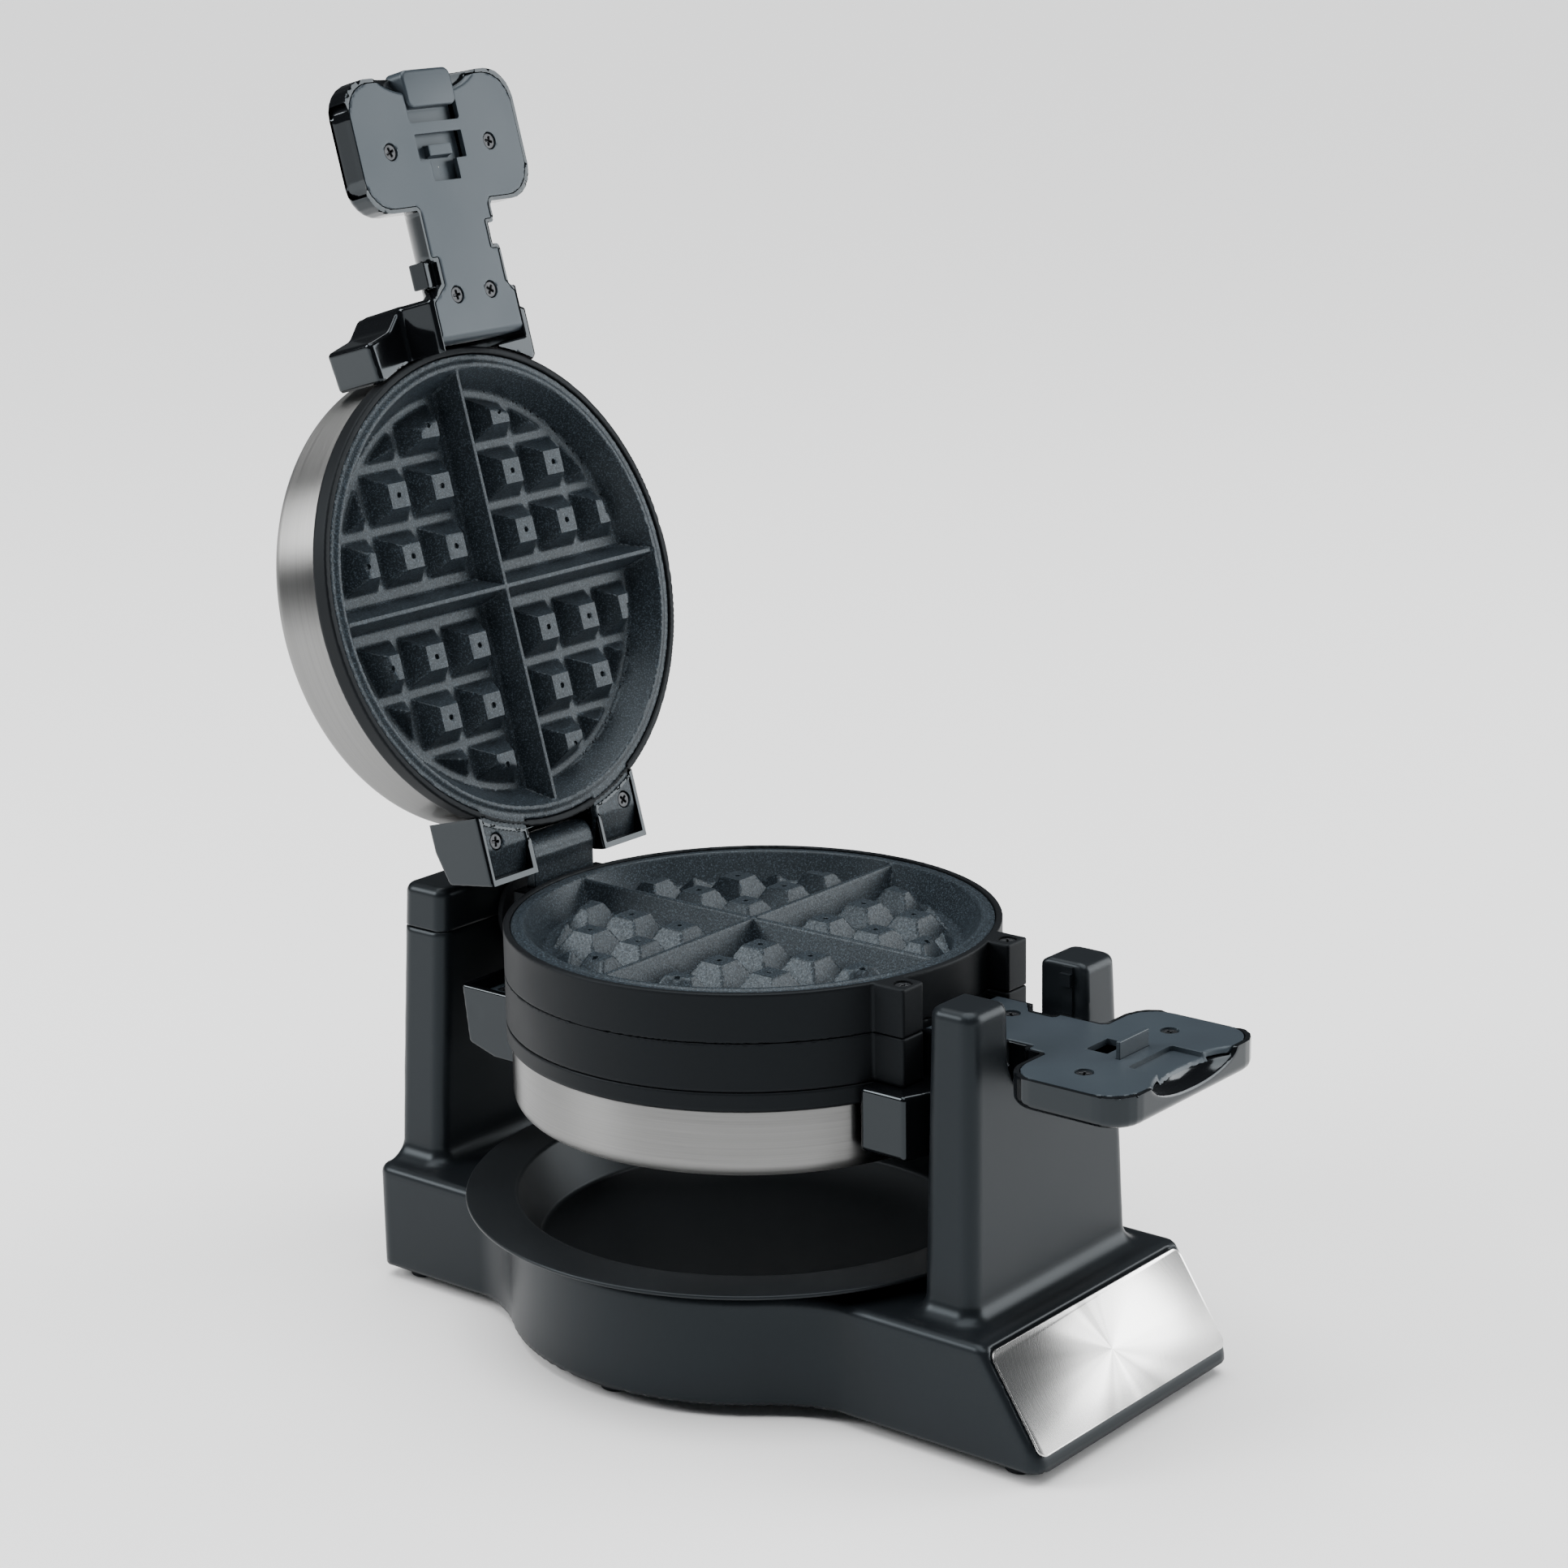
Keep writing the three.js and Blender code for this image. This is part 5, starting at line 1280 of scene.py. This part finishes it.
def ground_steel():
    # Ground steel bar: bright, with fine grinding marks.
    finish, tree, shader, place = start("ground_steel", linear("#b9b9b7"), 0.28, metallic=1.0)
    marks = noise(tree, place, 0.8, 4)
    tree.links.new(spread(tree, marks, 0.22, 0.36), shader.inputs["Roughness"])
    bump(tree, shader, marks, 0.003)
    return finish


def moulded_rubber():
    # Moulded rubber: dull black with hardly any highlight.
    return moulded_plastic("moulded_rubber", linear("#1b1c1e"), 0.75, 0.6, 0.02, 0.05)


def unglazed_steatite():
    # Unglazed steatite: off-white and chalky.
    finish, tree, shader, place = start("unglazed_steatite", linear("#d8d2c4"), 0.7)
    bump(tree, shader, noise(tree, place, 0.8, 4), 0.02)
    return finish


FINISHES = {
    "satin_black": satin_moulded_abs,
    "phenolic_black": matt_moulded_phenolic,
    "handle_matte": matt_moulded_nylon,
    "gloss_black": polished_moulded_abs,
    "non_stick": grained_non_stick,
    "brushed_cover": ring_brushed_stainless,
    "spun_panel": spun_stainless,
    "tray": satin_coated_tray,
    "heater_sheath": oxidised_sheath,
    "screws": black_zinc,
    "bright_steel": ground_steel,
    "rubber": moulded_rubber,
    "ceramic": unglazed_steatite,
}
made_finishes = {}


def finish_of(slot):
    if slot not in made_finishes:
        made_finishes[slot] = FINISHES[slot]()
    return made_finishes[slot]


# ---- Stage ---------------------------------------------------------------------

CAMERA_AT = (0.9119 + SHIFT_X / 1000, -1.0988, 0.6247)
CAMERA_YAW, CAMERA_PITCH, CAMERA_ROLL = 39.13, -15.27, -0.98
LENS_MM = 82.35
SENSOR_MM = 36
SWEEP_R = 20.0
SKY = ((0.86, 0.94, 1, 1), 0.1)  # colour and strength
SUN_POWER, SUN_ANGLE = 5.5, 70
# Each softbox's place, its target, its side in metres and its power in watts.
SOFTBOXES = (
    ((-1.5, -1.5, 1.4), (0, 0, 0.25), 1.0, 50),
    ((1.5, 1.9, 0.85), (0, 0, 0.25), 1.6, 60),
)


def pale_floor():
    finish, tree, shader, place = start("pale_paper_sweep", linear("#f4f4f4"), 0.9)
    tooth = noise(tree, place, 4, 3)
    bump(tree, shader, tooth, 0.01)
    return finish


def build_stage():
    scene = bpy.context.scene
    steps = 96
    angle = 2 * math.pi * np.arange(steps) / steps
    points = [(SWEEP_R * math.cos(a), SWEEP_R * math.sin(a), 0) for a in angle]
    mesh = bpy.data.meshes.new("floor")
    mesh.from_pydata(points, [], [list(range(steps))])
    mesh.materials.append(pale_floor())
    floor = bpy.data.objects.new("floor", mesh)
    scene.collection.objects.link(floor)

    world = bpy.data.worlds.new("studio")
    world.use_nodes = True
    scene.world = world
    background = world.node_tree.nodes["Background"]
    background.inputs["Color"].default_value, background.inputs["Strength"].default_value = SKY

    overhead = bpy.data.lights.new("overhead", "SUN")
    overhead.energy = SUN_POWER
    overhead.angle = math.radians(SUN_ANGLE)
    above = bpy.data.objects.new("overhead", overhead)
    scene.collection.objects.link(above)
    for softbox in SOFTBOXES:
        lamp(*softbox)

    camera = bpy.data.objects.new("camera", bpy.data.cameras.new("camera"))
    scene.collection.objects.link(camera)
    camera.data.lens = LENS_MM
    camera.data.sensor_width = SENSOR_MM
    camera.data.clip_end = 100
    yaw, pitch, roll = (math.radians(v) for v in (CAMERA_YAW, CAMERA_PITCH, CAMERA_ROLL))
    turn = Matrix.Rotation(yaw, 4, "Z") @ Matrix.Rotation(math.pi / 2 + pitch, 4, "X")
    turn = turn @ Matrix.Rotation(roll, 4, "Z")
    camera.matrix_world = Matrix.Translation(CAMERA_AT) @ turn
    scene.camera = camera


def lamp(at, target, size, power):
    data = bpy.data.lights.new("softbox", "AREA")
    data.shape = "SQUARE"
    data.size = size
    data.energy = power
    made = bpy.data.objects.new("softbox", data)
    bpy.context.scene.collection.objects.link(made)
    direction = Vector(target) - Vector(at)
    made.visible_camera = False
    made.matrix_world = Matrix.Translation(at) @ direction.to_track_quat("-Z", "Y").to_matrix().to_4x4()


# ---- The add-on ----------------------------------------------------------------


class WaffleSizes(bpy.types.PropertyGroup):
    """Sizes that can be changed without moving the joints"""

    tower_edge: FloatProperty(
        name="Tower Edge", description="Rounding of the upright edges of both towers",
        default=0.006, min=0, unit="LENGTH", subtype="DISTANCE")
    tower_fillet: FloatProperty(
        name="Tower Fillet", description="Hollow rounding where a tower meets the deck",
        default=0.008, min=0, unit="LENGTH", subtype="DISTANCE")
    base_blend: FloatProperty(
        name="Base Blend", description="Hollow rounding beside the round bulge of the base",
        default=0.014, min=0, unit="LENGTH", subtype="DISTANCE")
    peg_pitch: FloatProperty(
        name="Peg Pitch", description="Distance between two rows of pegs",
        default=0.0262, min=0.02, unit="LENGTH", subtype="DISTANCE")
    peg_top: FloatProperty(
        name="Peg Top", description="Half the width of a peg's top",
        default=0.0053, min=0.001, unit="LENGTH", subtype="DISTANCE")


class WaffleColours(bpy.types.PropertyGroup):
    """Colours of the finishes"""

    stand: FloatVectorProperty(
        name="Stand", description="Satin plastic of the base and the towers",
        default=linear("#121518"), size=3, min=0, max=1, subtype="COLOR")
    ring: FloatVectorProperty(
        name="Rings", description="Matt plastic of the rings and the lid rims",
        default=linear("#0c0d0f"), size=3, min=0, max=1, subtype="COLOR")
    handle_face: FloatVectorProperty(
        name="Handle Face", description="Matt plastic of the inner covers of the handles",
        default=linear("#262d33"), size=3, min=0, max=1, subtype="COLOR")
    handle_back: FloatVectorProperty(
        name="Handle Back", description="Glossy plastic of the handles and the hinge housings",
        default=linear("#08090b"), size=3, min=0, max=1, subtype="COLOR")
    plate: FloatVectorProperty(
        name="Grid Plates", description="Non-stick coating",
        default=linear("#181d21"), size=3, min=0, max=1, subtype="COLOR")
    tray: FloatVectorProperty(
        name="Drip Tray", description="Satin coating of the tray",
        default=linear("#16181a"), size=3, min=0, max=1, subtype="COLOR")
    panel: FloatVectorProperty(
        name="End Panel", description="Spun stainless steel of the end panel",
        default=linear("#c9c9c8"), size=3, min=0, max=1, subtype="COLOR")
    steel: FloatVectorProperty(
        name="Steel", description="Brushed stainless steel of both covers",
        default=linear("#7d7d7c"), size=3, min=0, max=1, subtype="COLOR")


class WAFFLE_OT_stand(bpy.types.Operator):
    """Build the base with both towers, the hinge-side cap and the underside"""

    bl_idname = "waffle.stand"
    bl_label = "Stand"

    def execute(self, context):
        build_stand()
        return {"FINISHED"}


class WAFFLE_OT_trim(bpy.types.Operator):
    """Build the end plate, the feet, the cord inlet and the shaft bush"""

    bl_idname = "waffle.trim"
    bl_label = "Trim and Feet"

    def execute(self, context):
        build_trim()
        return {"FINISHED"}


class WAFFLE_OT_tray(bpy.types.Operator):
    """Build the drip tray"""

    bl_idname = "waffle.tray"
    bl_label = "Drip Tray"

    def execute(self, context):
        build_tray()
        return {"FINISHED"}


class WAFFLE_OT_rings(bpy.types.Operator):
    """Build both rings of the grill"""

    bl_idname = "waffle.rings"
    bl_label = "Rings"

    def execute(self, context):
        build_rings()
        return {"FINISHED"}


class WAFFLE_OT_plates(bpy.types.Operator):
    """Build the four cast grid plates"""

    bl_idname = "waffle.plates"
    bl_label = "Grid Plates"

    def execute(self, context):
        build_plates()
        return {"FINISHED"}


class WAFFLE_OT_lids(bpy.types.Operator):
    """Build the rims and the steel covers of both lids"""

    bl_idname = "waffle.lids"
    bl_label = "Lids"

    def execute(self, context):
        build_lids()
        return {"FINISHED"}


class WAFFLE_OT_hinges(bpy.types.Operator):
    """Build the hinge brackets, housings and pins, and the flip shaft"""

    bl_idname = "waffle.hinges"
    bl_label = "Hinges and Shaft"

    def execute(self, context):
        build_hinges()
        return {"FINISHED"}


class WAFFLE_OT_handles(bpy.types.Operator):
    """Build the back and the inner cover of both handles"""

    bl_idname = "waffle.handles"
    bl_label = "Handles"

    def execute(self, context):
        build_handles()
        return {"FINISHED"}


class WAFFLE_OT_latch(bpy.types.Operator):
    """Build the sliding latch and its catch"""

    bl_idname = "waffle.latch"
    bl_label = "Latch"

    def execute(self, context):
        build_latch()
        return {"FINISHED"}


class WAFFLE_OT_screws(bpy.types.Operator):
    """Build the cross-head screws"""

    bl_idname = "waffle.screws"
    bl_label = "Screws"

    def execute(self, context):
        build_screws()
        return {"FINISHED"}


class WAFFLE_OT_inner(bpy.types.Operator):
    """Finish the pieces that the lids and the rings hide"""

    bl_idname = "waffle.inner"
    bl_label = "Heaters and Spring"

    def execute(self, context):
        for side, where in ((s, w) for s, _, _ in HALVES for w in ("mid", "lid")):
            dress(f"{side}_{where}_heater", 0.2)
        dress("thermostat")
        dress("latch_spring", 0.1)
        return {"FINISHED"}


class WAFFLE_OT_stage(bpy.types.Operator):
    """Build the pale floor, the soft lights and the camera"""

    bl_idname = "waffle.stage"
    bl_label = "Studio"

    def execute(self, context):
        build_stage()
        return {"FINISHED"}


OPERATORS = (
    WAFFLE_OT_stand, WAFFLE_OT_trim, WAFFLE_OT_tray, WAFFLE_OT_rings, WAFFLE_OT_plates, WAFFLE_OT_lids,
    WAFFLE_OT_hinges, WAFFLE_OT_handles, WAFFLE_OT_latch, WAFFLE_OT_screws, WAFFLE_OT_inner, WAFFLE_OT_stage,
)


class WAFFLE_PT_panel(bpy.types.Panel):
    """Lists the sizes, the colours and the pieces"""

    bl_idname = "WAFFLE_PT_panel"
    bl_label = "Waffle Maker"
    bl_space_type = "VIEW_3D"
    bl_region_type = "UI"
    bl_category = "Waffle Maker"

    def draw(self, context):
        for group in (context.scene.waffle_sizes, context.scene.waffle_colours):
            column = self.layout.column()
            for name in group.bl_rna.properties.keys():
                if name not in ("rna_type", "name"):
                    column.prop(group, name)
        column = self.layout.column()
        for operator in OPERATORS:
            column.operator(operator.bl_idname)


CLASSES = (WaffleSizes, WaffleColours, *OPERATORS, WAFFLE_PT_panel)


def register():
    for cls in CLASSES:
        bpy.utils.register_class(cls)
    bpy.types.Scene.waffle_sizes = PointerProperty(type=WaffleSizes)
    bpy.types.Scene.waffle_colours = PointerProperty(type=WaffleColours)


def unregister():
    del bpy.types.Scene.waffle_colours
    del bpy.types.Scene.waffle_sizes
    for cls in reversed(CLASSES):
        bpy.utils.unregister_class(cls)


def main():
    register()
    bpy.ops.waffle.stage()
    bpy.ops.waffle.stand()
    bpy.ops.waffle.trim()
    bpy.ops.waffle.tray()
    bpy.ops.waffle.rings()
    bpy.ops.waffle.plates()
    bpy.ops.waffle.lids()
    bpy.ops.waffle.hinges()
    bpy.ops.waffle.handles()
    bpy.ops.waffle.latch()
    bpy.ops.waffle.screws()
    bpy.ops.waffle.inner()


if __name__ == "__main__":
    main()
